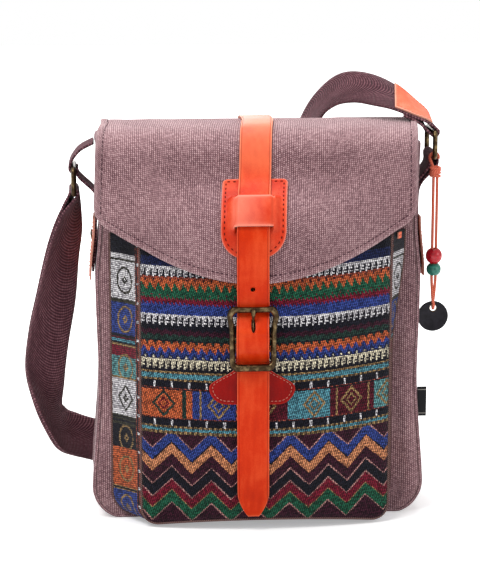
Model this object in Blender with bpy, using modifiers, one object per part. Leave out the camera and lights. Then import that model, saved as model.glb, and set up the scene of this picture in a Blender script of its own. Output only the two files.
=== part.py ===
"""Canvas messenger bag with a woven front pocket, a leather closure strap and a webbing shoulder strap.

Lengths below are millimetres. The bag stands on its flat bottom at z = 0 and its front faces -Y.
"""
import math

import bmesh
import bpy
import numpy as np
from mathutils import Vector

MM = 0.001
GAP = 0.3                       # clearance between pieces that touch

# Body shell
CLOTH = 1.5                     # canvas with its lining
BODY_TOP = 300.0
BODY_FRONT = -30.0
BODY_BACK = 48.0
WAIST_HALF_WIDTH = 126.5
FOOT_FLARE = 5.5                # how much wider the bag is at its foot
FOOT_FLARE_HEIGHT = 70.0
SHOULDER_FLARE = 3.0
CORNER_RADIUS = 26.0
SIDE_BULGE = 3.0
BACK_BULGE = 5.0

# Front pocket
POCKET_TOP = 232.0
POCKET_BASE_HALF = 118.0
POCKET_BASE_SHIFT = -3.0
POCKET_BASE_RADIUS = 20.0
POCKET_BASE_BOTTOM = 3.0
POCKET_FACE_HALF = 97.5
POCKET_FACE_SHIFT = 3.5
POCKET_FACE_RADIUS = 14.0
POCKET_FACE_BOTTOM = 1.5
POCKET_FACE_ARCH = 7.5          # lift of the bottom seam at its middle
POCKET_FACE_Y = -58.0
POCKET_BULGE = 24.0
POCKET_FOOT_BULGE = 0.6         # share of the bulge that is left at the bottom seam
POCKET_FOOT_HEIGHT = 60.0
POCKET_BASE_LIP = 1.3           # the gusset's slant keeps its outer edge this far from the panel

# Flap
FLAP_THICKNESS = 2.0
FLAP_HALF = 123.0
FLAP_TIP_Z = 200.0
FLAP_RISE = 47.0                # from the tip to the side corners
FLAP_POWER = 1.9
FLAP_CORNER = 9.0
FLAP_CLEAR = 3.3                # outer face in front of the pocket face
FLAP_TOP_Z = 313.0
LEAN_TOP = 3.0                  # sideways place of the flap's middle on the top
LEAN_SLOPE = 0.115              # and how it drifts as the flap comes forward

# Closure strap, its keeper, buckle and anchor
STRAP_WIDTH = 25.4
STRAP_THICKNESS = 2.2
STRAP_SHIFT = -1.5
STRAP_TIP_Z = 13.0
STRAP_TAPER = 22.0
KEEPER_THICKNESS = 2.0
KEEPER_SEAT = 0.6               # under the keeper, over the flap's curve
KEEPER_HALF = 25.0
KEEPER_TOP_Z = 274.5
KEEPER_BOTTOM_Z = 220.0
KEEPER_RADIUS = 22.0
BRIDGE_TOP_Z = 261.0
BRIDGE_BOTTOM_Z = 243.5
BRIDGE_FLAT = STRAP_WIDTH / 2 + 1.8
BRIDGE_END = BRIDGE_FLAT + 5.0
BUCKLE_Z = 158.5
BUCKLE_Y = -89.2
BUCKLE_HALF_WIDTH = 17.8        # to the middle of the side bars
BUCKLE_HALF_HEIGHT = 22.6       # to the middle of the end bars
BUCKLE_CORNER = 5.0
BUCKLE_WIRE = 2.0               # radius of the outer bars
CENTRE_BAR = 1.6                # radius of the bar that the anchor holds
BUCKLE_SWING_GAP = 0.9          # room between the end bars and the closure strap
ANCHOR_THICKNESS = 1.4
ANCHOR_BOTTOM_Z = 105.0
ANCHOR_WIDE_HALF = 33.0
ANCHOR_NECK_HALF = 12.5
ANCHOR_RADIUS = 13.0
PRONG_WIRE = 1.0
PRONG_LOOP_START = 180.0         # where the prong's wire meets and leaves the bar, in degrees
PRONG_LOOP_END = 455.0
PRONG_SLOT_HALF = 1.9
STRAP_CREST = -93.9             # inner face of the strap over the centre bar
SLOT_LOW = 4.3                  # the strap's prong hole, above the centre bar
SLOT_HIGH = 13.6
SPARE_HOLE_ABOVE = 38.0         # next hole, above the centre bar
SPARE_HOLE_RADIUS = 1.8

# Shoulder strap fittings
WEB_WIDTH = 36.0
WEB_THICKNESS = 1.8
RING_LENGTH = 42.0              # middle of wire, along Y
RING_HEIGHT = 20.0
RING_CORNER = 3.5
RING_WIRE = 2.0
RING_Y = 8.0
RIGHT_RING_OUT = 14.5
RIGHT_RING_X = WAIST_HALF_WIDTH + RIGHT_RING_OUT
RIGHT_RING_Z = 285.0            # its lower bar, held by the tab
LEFT_RING_OUT = 17.5
LEFT_RING_X = -WAIST_HALF_WIDTH - LEFT_RING_OUT
LEFT_RING_Z = 278.5             # its upper bar, held by the tab
TAB_WIDTH = 30.0
TAB_THICKNESS = 1.8
TAB_FOOT_Z = 196.0
TAB_MIDDLE_Z = TAB_FOOT_Z + 24.0
TAB_TOP_Z = 298.5
TAB_PATCH_WIDTH = 38.0
TAB_PATCH_LOW = 190.0
TAB_PATCH_HIGH = 238.0
TAB_PATCH_THICKNESS = 1.5
RIVET_RADIUS = 4.0
RIVET_HEIGHT = 1.6
RIVET_Z = 224.0
SLIDER_HALF_LENGTH = 15.0
SLIDER_HALF_WIDTH = 20.8
SLIDER_WIRE = 1.7
PATCH_THICKNESS = 1.5
PATCH_LENGTH = 32.0

# Charm
CHARM_X = 141.0
CHARM_Y = -17.0
CORD_RADIUS = 1.2
CORD_HALF_SPREAD = 1.5
CHARM_TOP_Z = RIGHT_RING_Z
BEAD_HOLE = 3.1
RED_BEAD_Z = 207.2
RED_BEAD_RADIUS = 6.6
RED_BEAD_HALF = 5.7
GREEN_BEAD_Z = 196.3
GREEN_BEAD_RADIUS = 5.9
GREEN_BEAD_HALF = 4.6
DISC_Z = 158.0
DISC_RADIUS = 12.3
DISC_THICKNESS = 1.6
DISC_HOLE = 2.6
DISC_HOLE_ABOVE = 6.8

# Small trim
LABEL_LENGTH = 24.0
LABEL_WIDTH = 7.7
LABEL_THICKNESS = 1.0
LABEL_Z = 91.0
CORNER_TAB_WIDTH = 6.0
CORNER_TAB_HEIGHT = 5.0


def clear_scene():
    for item in list(bpy.data.objects):
        bpy.data.objects.remove(item, do_unlink=True)


def collection(name):
    group = bpy.data.collections.new(name)
    bpy.context.scene.collection.children.link(group)
    return group


def material(name, colour, roughness, metallic=0.0):
    finish = bpy.data.materials.new(name)
    finish.use_nodes = True
    shader = finish.node_tree.nodes["Principled BSDF"]
    shader.inputs["Base Color"].default_value = (*colour, 1.0)
    shader.inputs["Roughness"].default_value = roughness
    shader.inputs["Metallic"].default_value = metallic
    return finish


clear_scene()
PARTS = collection("messenger_bag")
CUTTERS = collection("cutters")
CANVAS = material("canvas", (0.19, 0.115, 0.098), 0.9)
WOVEN = material("woven_cloth", (0.12, 0.07, 0.06), 0.85)
ORANGE_LEATHER = material("orange_leather", (0.62, 0.10, 0.02), 0.4)
RED_LEATHER = material("red_leather", (0.45, 0.05, 0.015), 0.42)
BRASS = material("antique_brass", (0.25, 0.18, 0.09), 0.38, 1.0)
WEBBING = material("webbing", (0.075, 0.035, 0.03), 0.85)
CORD = material("orange_cord", (0.70, 0.12, 0.03), 0.7)
RED_GLAZE = material("red_glaze", (0.45, 0.012, 0.02), 0.25)
GREEN_GLAZE = material("green_glaze", (0.01, 0.20, 0.15), 0.25)
BLACK_DISC = material("black_disc", (0.02, 0.017, 0.016), 0.35)
LABEL_CLOTH = material("label_cloth", (0.012, 0.012, 0.014), 0.8)


def smooth(t):
    t = min(max(t, 0.0), 1.0)
    return t * t * (3.0 - 2.0 * t)


def lerp(a, b, t):
    return a + (b - a) * t


class Path:
    """A smooth curve through points, read by its length."""

    def __init__(self, points, steps=24):
        points = [np.array(p, float) for p in points]
        ends = [2 * points[0] - points[1]] + points + [2 * points[-1] - points[-2]]
        dense = []
        for before, start, end, after in zip(ends, ends[1:], ends[2:], ends[3:]):
            for step in range(steps):
                t = step / steps
                dense.append(0.5 * (2 * start + (end - before) * t
                                    + (2 * before - 5 * start + 4 * end - after) * t * t
                                    + (3 * start - before - 3 * end + after) * t ** 3))
        dense.append(points[-1])
        self.dense = np.array(dense)
        steps_long = np.linalg.norm(np.diff(self.dense, axis=0), axis=1)
        self.reach = np.concatenate([[0.0], np.cumsum(steps_long)])
        self.length = self.reach[-1]

    def at(self, distance):
        return np.array([np.interp(distance, self.reach, self.dense[:, k])
                         for k in range(self.dense.shape[1])])

    def tangent(self, distance, step=0.5):
        a = self.at(max(distance - step, 0.0))
        b = self.at(min(distance + step, self.length))
        return (b - a) / np.linalg.norm(b - a)

    def where(self, axis, value):
        """Last distance at which one coordinate passes a value."""
        side = self.dense[:, axis] - value
        crossing = np.nonzero(side[:-1] * side[1:] <= 0)[0][-1]
        share = side[crossing] / (side[crossing] - side[crossing + 1])
        return lerp(self.reach[crossing], self.reach[crossing + 1], share)


def show(name, mesh, finish, group=None):
    item = bpy.data.objects.new(name, mesh)
    (group or PARTS).objects.link(item)
    item.data.materials.clear()
    item.data.materials.append(finish)
    return item


def sheet(name, across, along, place, thickness, side, finish, keep=None):
    """A cloth or leather sheet: a grid whose points are moved by place(i, j), then thickened.

    across and along are the numbers of cells. side is -1 to thicken behind the face, 0 to both sides.
    """
    bm = bmesh.new()
    bmesh.ops.create_grid(bm, x_segments=across, y_segments=along, size=1.0)
    if keep:
        holes = []
        for face in bm.faces:
            centre = face.calc_center_median()
            i = int((centre.x + 1) / 2 * across)
            j = int((centre.y + 1) / 2 * along)
            if not keep(i, j):
                holes.append(face)
        bmesh.ops.delete(bm, geom=holes, context="FACES")
    for vertex in bm.verts:
        i = round((vertex.co.x + 1) / 2 * across)
        j = round((vertex.co.y + 1) / 2 * along)
        vertex.co = Vector(place(i, j)) * MM
    mesh = bpy.data.meshes.new(name)
    bm.to_mesh(mesh)
    bm.free()
    mesh.shade_smooth()
    item = show(name, mesh, finish)
    solid = item.modifiers.new("thickness", "SOLIDIFY")
    solid.thickness = thickness * MM
    solid.offset = side
    solid.use_even_offset = side != 0
    return item


def wire(name, points, radius, finish, closed=False, resolution=3, group=None):
    """A round wire through points, as a mesh with welded caps."""
    curve = bpy.data.curves.new(name, "CURVE")
    curve.dimensions = "3D"
    curve.bevel_depth = radius * MM
    curve.bevel_resolution = resolution
    curve.use_fill_caps = True
    spline = curve.splines.new("POLY")
    spline.points.add(len(points) - 1)
    for point, place in zip(spline.points, points):
        point.co = (*(Vector(place) * MM), 1.0)
    spline.use_cyclic_u = closed
    rough = bpy.data.objects.new(name + "_curve", curve)
    PARTS.objects.link(rough)
    depsgraph = bpy.context.evaluated_depsgraph_get()
    mesh = bpy.data.meshes.new_from_object(rough.evaluated_get(depsgraph))
    bpy.data.objects.remove(rough, do_unlink=True)
    bm = bmesh.new()
    bm.from_mesh(mesh)
    bmesh.ops.remove_doubles(bm, verts=bm.verts, dist=1e-6)
    bmesh.ops.recalc_face_normals(bm, faces=bm.faces)
    bm.to_mesh(mesh)
    bm.free()
    mesh.shade_smooth()
    return show(name, mesh, finish, group)


def turned(name, profile, centre, finish, steps=24):
    """A ring turned about a vertical axis from a closed (radius, height) profile."""
    bm = bmesh.new()
    points = [bm.verts.new(Vector((r, 0, z)) * MM) for r, z in profile]
    for a, b in zip(points, points[1:] + points[:1]):
        bm.edges.new((a, b))
    mesh = bpy.data.meshes.new(name)
    bm.to_mesh(mesh)
    bm.free()
    item = show(name, mesh, finish)
    item.location = Vector(centre) * MM
    screw = item.modifiers.new("turn", "SCREW")
    screw.steps = steps
    screw.render_steps = steps
    screw.use_merge_vertices = True
    screw.merge_threshold = 0.00001
    return item


def cylinder(name, radius, depth, centre, axis, finish, group=None, sides=24):
    bm = bmesh.new()
    bmesh.ops.create_cone(bm, cap_ends=True, segments=sides, radius1=radius * MM, radius2=radius * MM,
                          depth=depth * MM)
    mesh = bpy.data.meshes.new(name)
    bm.to_mesh(mesh)
    bm.free()
    item = show(name, mesh, finish, group)
    item.location = Vector(centre) * MM
    item.rotation_euler = {"X": (0, math.pi / 2, 0), "Y": (math.pi / 2, 0, 0), "Z": (0, 0, 0)}[axis]
    return item


def box(name, size, centre, finish):
    bm = bmesh.new()
    bmesh.ops.create_cube(bm, size=1.0)
    for vertex in bm.verts:
        vertex.co = Vector([c * s * MM for c, s in zip(vertex.co, size)])
    mesh = bpy.data.meshes.new(name)
    bm.to_mesh(mesh)
    bm.free()
    item = show(name, mesh, finish)
    item.location = Vector(centre) * MM
    return item


def join(target, tool, operation):
    tool.hide_render = True
    tool.display_type = "WIRE"
    change = target.modifiers.new(operation.lower(), "BOOLEAN")
    change.operation = operation
    change.object = tool
    change.solver = "EXACT"


# Body outline

def body_half(z):
    foot = FOOT_FLARE * math.exp(-(z / FOOT_FLARE_HEIGHT) ** 2)
    return WAIST_HALF_WIDTH + foot + SHOULDER_FLARE * (z / BODY_TOP) ** 4


def u_outline(half_at, radius, top, bottom_at, shift, sides=11, arc=6, floor=10):
    """Right side, bottom and left side of a bag panel, as (x, z) pairs, and the rows of its sides."""
    rows = []
    for k in range(arc + 1):
        angle = math.pi / 2 * (1 - k / arc)
        rows.append((half_at(radius) - radius + radius * math.cos(angle), radius - radius * math.sin(angle)))
    for k in range(1, sides + 1):
        height = lerp(radius, top, k / sides)
        rows.append((half_at(height), height))
    floor_half = rows[0][0]
    right = [(x, h) for x, h in reversed(rows)]
    bottom = [(lerp(floor_half, -floor_half, k / floor), 0.0) for k in range(1, floor)]
    left = [(-x, h) for x, h in rows]
    places = []
    for x, h in right + bottom + left:
        low = bottom_at(x)
        places.append((x + shift, low + h * (top - low) / top))
    return places, rows


def side_x(y, z):
    """Outer face of the side gusset."""
    middle = (BODY_FRONT + BODY_BACK) / 2
    reach = (BODY_BACK - BODY_FRONT) / 2
    swell = SIDE_BULGE * (1 - ((y - middle) / reach) ** 2) * smooth(z / 80.0)
    return body_half(z) + swell


def make_side_gusset():
    outline, _ = u_outline(body_half, CORNER_RADIUS, BODY_TOP, lambda x: 0.0, 0.0)
    across = 6

    def place(i, j):
        x, z = outline[j]
        y = lerp(BODY_BACK, BODY_FRONT, i / across)
        swell = side_x(y, z) - body_half(z)
        return (x + math.copysign(swell, x) if abs(x) > 1 else x, y, z)

    sheet("side_gusset", across, len(outline) - 1, place, CLOTH, -1, CANVAS)


def make_body_panels():
    _, rows = u_outline(body_half, CORNER_RADIUS, BODY_TOP, lambda x: 0.0, 0.0)
    across = 12

    def front(i, j):
        half, z = rows[j]
        return (half * (2 * i / across - 1), BODY_FRONT - GAP - CLOTH, z)

    def back(i, j):
        half, z = rows[j]
        share = 1 - 2 * i / across
        swell = BACK_BULGE * (1 - share * share) * math.sin(math.pi * z / BODY_TOP)
        return (half * share, BODY_BACK + GAP + CLOTH + swell, z)

    sheet("front_panel", across, len(rows) - 1, front, CLOTH, -1, CANVAS)
    sheet("back_panel", across, len(rows) - 1, back, CLOTH, -1, CANVAS)


# Pocket

def pocket_y(x, z):
    """Outer face of the pocket's front."""
    share = min(abs(x - POCKET_FACE_SHIFT) / POCKET_FACE_HALF, 1.0)
    fullness = lerp(POCKET_FOOT_BULGE, 1.0, smooth(z / POCKET_FOOT_HEIGHT))
    return POCKET_FACE_Y - POCKET_BULGE * (1 - share * share) * fullness


def face_bottom(x):
    return POCKET_FACE_BOTTOM + POCKET_FACE_ARCH * (1 - (x / POCKET_FACE_HALF) ** 2)


def pocket_edges():
    face = u_outline(lambda h: POCKET_FACE_HALF, POCKET_FACE_RADIUS, POCKET_TOP, face_bottom,
                     POCKET_FACE_SHIFT)
    base = u_outline(lambda h: POCKET_BASE_HALF, POCKET_BASE_RADIUS, POCKET_TOP,
                     lambda x: POCKET_BASE_BOTTOM, POCKET_BASE_SHIFT)
    return face, base


def pocket_side(share, j, offset=0.0):
    """A point on the pocket's gusset, from its base seam (0) to its face seam (1)."""
    (face, _), (base, _) = pocket_edges()
    base_y = BODY_FRONT - 2 * GAP - CLOTH - POCKET_BASE_LIP
    fx, fz = face[j]
    bx, bz = base[j]
    fy = pocket_y(fx, fz) + CLOTH + GAP
    out = math.copysign(offset, fx)
    return (lerp(bx, fx, share) + out, lerp(base_y, fy, share), lerp(bz, fz, share))


def make_pocket():
    (face, rows), _ = pocket_edges()
    across = 4
    sheet("pocket_gusset", across, len(face) - 1, lambda i, j: pocket_side(i / across, j),
          CLOTH, -1, WOVEN)
    columns = 18

    def front(i, j):
        half, height = rows[j]
        x = half * (2 * i / columns - 1)
        low = face_bottom(x)
        z = low + height * (POCKET_TOP - low) / POCKET_TOP
        return (x + POCKET_FACE_SHIFT, pocket_y(x + POCKET_FACE_SHIFT, z), z)

    sheet("pocket_front", columns, len(rows) - 1, front, CLOTH, -1, WOVEN)


def make_corner_tab():
    """A small leather tab over the top right corner of the pocket's gusset."""
    top = pocket_side(0.5, 0)
    low = pocket_side(0.5, 1)
    front = pocket_side(0.5 + CORNER_TAB_WIDTH / 60.0, 0)
    down = np.array(low) - np.array(top)
    down = down / np.linalg.norm(down)
    ahead = np.array(front) - np.array(top)
    ahead = ahead / np.linalg.norm(ahead)
    out = np.cross(ahead, down)
    across, along = 2, 2

    def place(i, j):
        lift = GAP + PATCH_THICKNESS
        spot = np.array(top) + out * lift
        spot = spot + ahead * CORNER_TAB_WIDTH * (i / across - 0.5)
        return spot + down * CORNER_TAB_HEIGHT * (j / along)

    sheet("pocket_corner_tab", across, along, place, PATCH_THICKNESS, -1, ORANGE_LEATHER)


# Flap

def lean(y):
    return LEAN_TOP + LEAN_SLOPE * min(y, 0.0)


def flap_path(x):
    """Outer face of the flap at one column, from its sewn edge at the back to below its tip."""
    swell = POCKET_FACE_Y - pocket_y(x + lean(POCKET_FACE_Y - POCKET_BULGE / 2), POCKET_TOP)
    face = POCKET_FACE_Y - FLAP_CLEAR
    back = BODY_BACK + GAP + 2 * CLOTH + FLAP_THICKNESS
    return Path([(back, 278.0), (back + 0.3, 297.0), (back - 6.5, 309.0), (25.0, FLAP_TOP_Z - 0.5),
                 (-5.0, FLAP_TOP_Z), (-29.0, 310.0), (-43.0, 298.0), (-51.0, 276.0),
                 (face + 3.3 - 0.72 * swell, 257.0), (face - swell, POCKET_TOP + 6.0),
                 (face - swell, 214.0), (face - swell, 190.0)])


def flap_edge(x):
    """Height of the flap's lower edge."""
    share = min(abs(x) / (FLAP_HALF), 1.0)
    edge = FLAP_TIP_Z + FLAP_RISE * share ** FLAP_POWER
    inset = max(abs(x) - (FLAP_HALF - FLAP_CORNER), 0.0)
    return edge + FLAP_CORNER - math.sqrt(max(FLAP_CORNER ** 2 - inset ** 2, 0.0))


def flap_point(x, distance, lift=0.0):
    """A point at a height over the flap's outer face."""
    path = flap_path(x)
    y, z = path.at(distance)
    ty, tz = path.tangent(distance)
    return np.array([x + lean(y), y + lift * tz, z - lift * ty])


def make_flap():
    columns, rows = 20, 22
    paths = {}
    for i in range(columns + 1):
        x = FLAP_HALF * (2 * i / columns - 1)
        path = flap_path(x)
        paths[i] = (x, path, path.where(1, flap_edge(x)))

    def place(i, j):
        x, path, reach = paths[i]
        y, z = path.at(reach * (1 - j / rows))
        return (x + lean(y), y, z)

    sheet("flap", columns, rows, place, FLAP_THICKNESS, -1, CANVAS)


# Closure strap

def strap_lift():
    """How far the strap's inner face stands off the flap where it lies on the keeper."""
    return KEEPER_SEAT + KEEPER_THICKNESS + GAP + 0.1


def strap_line():
    """Inner face of the closure strap: from the back, over the flap, through the buckle, to its tip."""
    path = flap_path(STRAP_SHIFT)
    rest = GAP + 0.1
    raised = strap_lift()
    keeper = path.where(1, KEEPER_TOP_Z)
    points = []
    distance = 5.0
    last = path.where(1, FLAP_TIP_Z + 9.0)
    while distance < last:
        lift = lerp(rest, raised, smooth((distance - keeper + 26.0) / 24.0))
        x, y, z = flap_point(STRAP_SHIFT, distance, lift)
        points.append((y, z))
        distance += 7.0
    under = BUCKLE_Y + BUCKLE_WIRE + BUCKLE_SWING_GAP + STRAP_THICKNESS
    end = BUCKLE_HALF_HEIGHT
    buckle = [(under - 0.9, end + 9.0), (under, end), (under - 0.6, 18.6), (STRAP_CREST + 0.5, 7.4),
              (STRAP_CREST, 3.0), (STRAP_CREST, -3.0), (STRAP_CREST + 1.7, -8.2), (under - 1.9, -16.0),
              (under, -end)]
    points += [(y, BUCKLE_Z + u) for y, u in buckle]
    patch_lift = 2 * GAP + ANCHOR_THICKNESS + 0.1
    x = STRAP_SHIFT + lean(BUCKLE_Y)
    for z in (126.0, 115.0):
        points.append((pocket_y(x, z) - patch_lift - 0.3, z))
    for z in (104.0, 92.0, 78.0, 64.0, 50.0, 36.0, 24.0, STRAP_TIP_Z):
        lift = lerp(patch_lift, GAP + 0.2, smooth((104.0 - z) / 26.0))
        points.append((pocket_y(x, z) - lift, z))
    return Path(points)


def make_closure_strap():
    path = strap_line()
    step = 4.0
    rows = int(path.length / step)
    across = 2

    def place(i, j):
        distance = path.length * j / rows
        y, z = path.at(distance)
        ty, tz = path.tangent(distance)
        y += STRAP_THICKNESS / 2 * tz
        z -= STRAP_THICKNESS / 2 * ty
        left = path.length - distance
        half = STRAP_WIDTH / 2
        if left < STRAP_TAPER:
            half *= 0.30 + 0.70 * math.sin(math.pi / 2 * left / STRAP_TAPER) ** 0.8
        return (STRAP_SHIFT + lean(y) + half * (1 - 2 * i / across), y, z)

    strap = sheet("closure_strap", across, rows, place, STRAP_THICKNESS, 0, ORANGE_LEATHER)
    x = STRAP_SHIFT + lean(BUCKLE_Y)
    slot = cylinder("prong_hole", 1.0, 30.0, (x, BUCKLE_Y, BUCKLE_Z + (SLOT_LOW + SLOT_HIGH) / 2), "Y",
                    ORANGE_LEATHER, CUTTERS, 20)
    slot.scale = (2.4, (SLOT_HIGH - SLOT_LOW) / 2 + 1.4, 1.0)
    join(strap, slot, "DIFFERENCE")
    spare = cylinder("spare_hole", SPARE_HOLE_RADIUS, 12.0, (x, BUCKLE_Y + 2.0, BUCKLE_Z + SPARE_HOLE_ABOVE),
                     "Y", ORANGE_LEATHER, CUTTERS, 12)
    join(strap, spare, "DIFFERENCE")


def make_keeper():
    """A leather patch on the flap, slit twice so that its middle bridges the closure strap."""
    path = flap_path(STRAP_SHIFT)
    top = path.where(1, KEEPER_TOP_Z)
    bottom = path.where(1, KEEPER_BOTTOM_Z)
    bridge_top = path.where(1, BRIDGE_TOP_Z)
    bridge_bottom = path.where(1, BRIDGE_BOTTOM_Z)
    length = bottom - top
    ramp_middle = (BRIDGE_FLAT + BRIDGE_END) / 2
    columns = [-KEEPER_HALF, -22.0, -BRIDGE_END, -ramp_middle, -BRIDGE_FLAT, -6.0, 0.0, 6.0, BRIDGE_FLAT,
               ramp_middle, BRIDGE_END, 22.0, KEEPER_HALF]
    low = bottom - bridge_bottom
    high = bottom - bridge_top
    heights = [0.0, 1.4, 3.6, 7.0, 11.5, 17.0, low, lerp(low, high, 0.5), high, length - 4.0,
               length - 1.2, length]
    slit_rows = (heights.index(low), heights.index(high))
    slit_columns = (columns.index(-BRIDGE_END), columns.index(BRIDGE_END))
    across = len(columns) - 1
    along = len(heights) - 1
    bm = bmesh.new()
    bmesh.ops.create_grid(bm, x_segments=across, y_segments=along, size=1.0)

    def cell(place):
        return (place.x + 1) / 2 * across, (place.y + 1) / 2 * along

    slits = []
    for edge in bm.edges:
        (i, j), (k, m) = cell(edge.verts[0].co), cell(edge.verts[1].co)
        flat = abs(j - m) < 0.01 and round(j) in slit_rows
        inside = min(i, k) > slit_columns[0] - 0.01 and max(i, k) < slit_columns[1] + 0.01
        if flat and inside:
            slits.append(edge)
    bmesh.ops.split_edges(bm, edges=slits)
    centres = {face: cell(face.calc_center_median())[1] for face in bm.faces}
    moves = {}
    for vertex in bm.verts:
        i, j = cell(vertex.co)
        i, j = round(i), round(j)
        across_place = columns[i]
        height = heights[j]
        half = KEEPER_HALF
        if height < KEEPER_RADIUS:
            half = KEEPER_HALF - KEEPER_RADIUS + math.sqrt(KEEPER_RADIUS ** 2 - (KEEPER_RADIUS - height) ** 2)
        elif length - height < 4.0:
            half = KEEPER_HALF - 4.0 + math.sqrt(16.0 - (4.0 - length + height) ** 2)
        across_place *= half / KEEPER_HALF
        lift = KEEPER_SEAT + KEEPER_THICKNESS
        spot = flap_point(STRAP_SHIFT + across_place, bottom - height, lift)
        if all(slit_rows[0] < centres[face] < slit_rows[1] for face in vertex.link_faces):
            ramp = smooth((BRIDGE_END - abs(across_place)) / (BRIDGE_END - BRIDGE_FLAT))
            over = strap_lift() + STRAP_THICKNESS + 3 * GAP + KEEPER_THICKNESS
            crest = flap_point(STRAP_SHIFT, bottom - height, over)
            spot[1:] = lerp(spot[1:], crest[1:], ramp)
        moves[vertex] = spot
    for vertex, place in moves.items():
        vertex.co = Vector(place) * MM
    mesh = bpy.data.meshes.new("strap_keeper")
    bm.to_mesh(mesh)
    bm.free()
    keeper = show("strap_keeper", mesh, ORANGE_LEATHER)
    solid = keeper.modifiers.new("thickness", "SOLIDIFY")
    solid.thickness = KEEPER_THICKNESS * MM
    solid.offset = -1


def rounded_rectangle(half_a, half_b, radius, steps=5):
    """Corner arcs of a rounded rectangle, counter-clockwise, as (a, b) pairs."""
    places = []
    for corner in range(4):
        ca = (half_a - radius) * (1 if corner in (0, 3) else -1)
        cb = (half_b - radius) * (1 if corner in (0, 1) else -1)
        for step in range(steps + 1):
            angle = math.pi / 2 * (corner + step / steps)
            places.append((ca + radius * math.cos(angle), cb + radius * math.sin(angle)))
    return places


def buckle_x():
    return STRAP_SHIFT + lean(BUCKLE_Y)


def make_buckle():
    x = buckle_x()
    outline = rounded_rectangle(BUCKLE_HALF_WIDTH, BUCKLE_HALF_HEIGHT, BUCKLE_CORNER)
    frame = wire("buckle_frame", [(x + a, BUCKLE_Y, BUCKLE_Z + b) for a, b in outline], BUCKLE_WIRE, BRASS,
                 closed=True)
    bar = cylinder("centre_bar", CENTRE_BAR, 2 * BUCKLE_HALF_WIDTH, (x, BUCKLE_Y, BUCKLE_Z), "X", BRASS,
                   CUTTERS, 16)
    join(frame, bar, "UNION")
    loop = CENTRE_BAR + GAP + PRONG_WIRE
    points = []
    rest_y = BUCKLE_Y - BUCKLE_WIRE - GAP - PRONG_WIRE
    points.append((x, rest_y, BUCKLE_Z + BUCKLE_HALF_HEIGHT + 1.2))
    points.append((x, rest_y, BUCKLE_Z + BUCKLE_HALF_HEIGHT - 4.0))
    points.append((x, lerp(rest_y, BUCKLE_Y - loop, 0.6), BUCKLE_Z + 9.0))
    turns = 15
    for k in range(turns + 1):
        angle = math.radians(lerp(PRONG_LOOP_START, PRONG_LOOP_END, k / turns))
        points.append((x, BUCKLE_Y + loop * math.cos(angle), BUCKLE_Z + loop * math.sin(angle)))
    wire("buckle_prong", points, PRONG_WIRE, BRASS)


def make_anchor():
    """The leather that holds the buckle: a patch on the pocket whose neck loops round the centre bar."""
    x = buckle_x()
    loop = CENTRE_BAR + GAP + ANCHOR_THICKNESS / 2
    seat = GAP + ANCHOR_THICKNESS / 2
    rows = []
    for z in (ANCHOR_BOTTOM_Z, 106.5, 109.0, 113.0, 118.0, 123.5, 128.5, 133.0, 138.0, 144.0):
        below = z - ANCHOR_BOTTOM_Z
        half = ANCHOR_WIDE_HALF
        if below < ANCHOR_RADIUS:
            half += math.sqrt(ANCHOR_RADIUS ** 2 - (ANCHOR_RADIUS - below) ** 2) - ANCHOR_RADIUS
        half = lerp(half, ANCHOR_NECK_HALF, smooth((z - 118.0) / 17.0))
        rows.append((z, None, half))
    flat = pocket_y(x, 146.0) - seat
    rows.append((149.5, flat - 1.2, ANCHOR_NECK_HALF))
    rows.append((BUCKLE_Z - 4.5, BUCKLE_Y + loop + 0.9, ANCHOR_NECK_HALF))
    slot_start = len(rows) - 1
    turns = 10
    for k in range(turns + 1):
        angle = math.radians(lerp(-12.0, 192.0, k / turns))
        rows.append((BUCKLE_Z + loop * math.sin(angle), BUCKLE_Y + loop * math.cos(angle), ANCHOR_NECK_HALF))
    rows.append((BUCKLE_Z - 5.5, BUCKLE_Y + 0.4, ANCHOR_NECK_HALF))
    slot_end = len(rows) - 1
    front = flat - ANCHOR_THICKNESS - GAP
    rows.append((BUCKLE_Z - 9.5, front - 0.9, ANCHOR_NECK_HALF))
    rows.append((146.0, front - 0.3, ANCHOR_NECK_HALF))
    rows.append((143.0, front - 0.1, ANCHOR_NECK_HALF))
    shares = [-1.0, -0.72, -0.42, None, None, 0.42, 0.72, 1.0]

    def place(i, j):
        z, y, half = rows[j]
        share = shares[i]
        if share is None:
            across_place = PRONG_SLOT_HALF * (-1 if i == 3 else 1)
        else:
            across_place = share * half
        if y is None:
            y = pocket_y(x + across_place, z) - seat
        return (x + across_place, y, z)

    sheet("buckle_anchor", len(shares) - 1, len(rows) - 1, place, ANCHOR_THICKNESS, 0, RED_LEATHER,
          keep=lambda i, j: not (i == 3 and slot_start <= j < slot_end))


# Shoulder strap fittings

def ring_points(x, z_middle):
    return [(x, RING_Y + a, z_middle + b)
            for a, b in rounded_rectangle(RING_LENGTH / 2, RING_HEIGHT / 2, RING_CORNER, 4)]


def make_rings():
    right = ring_points(RIGHT_RING_X, RIGHT_RING_Z + RING_HEIGHT / 2)
    left = ring_points(LEFT_RING_X, LEFT_RING_Z - RING_HEIGHT / 2)
    wire("right_ring", right, RING_WIRE, BRASS, closed=True)
    wire("left_ring", left, RING_WIRE, BRASS, closed=True)


def side_at(z):
    return side_x(RING_Y, z)


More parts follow.
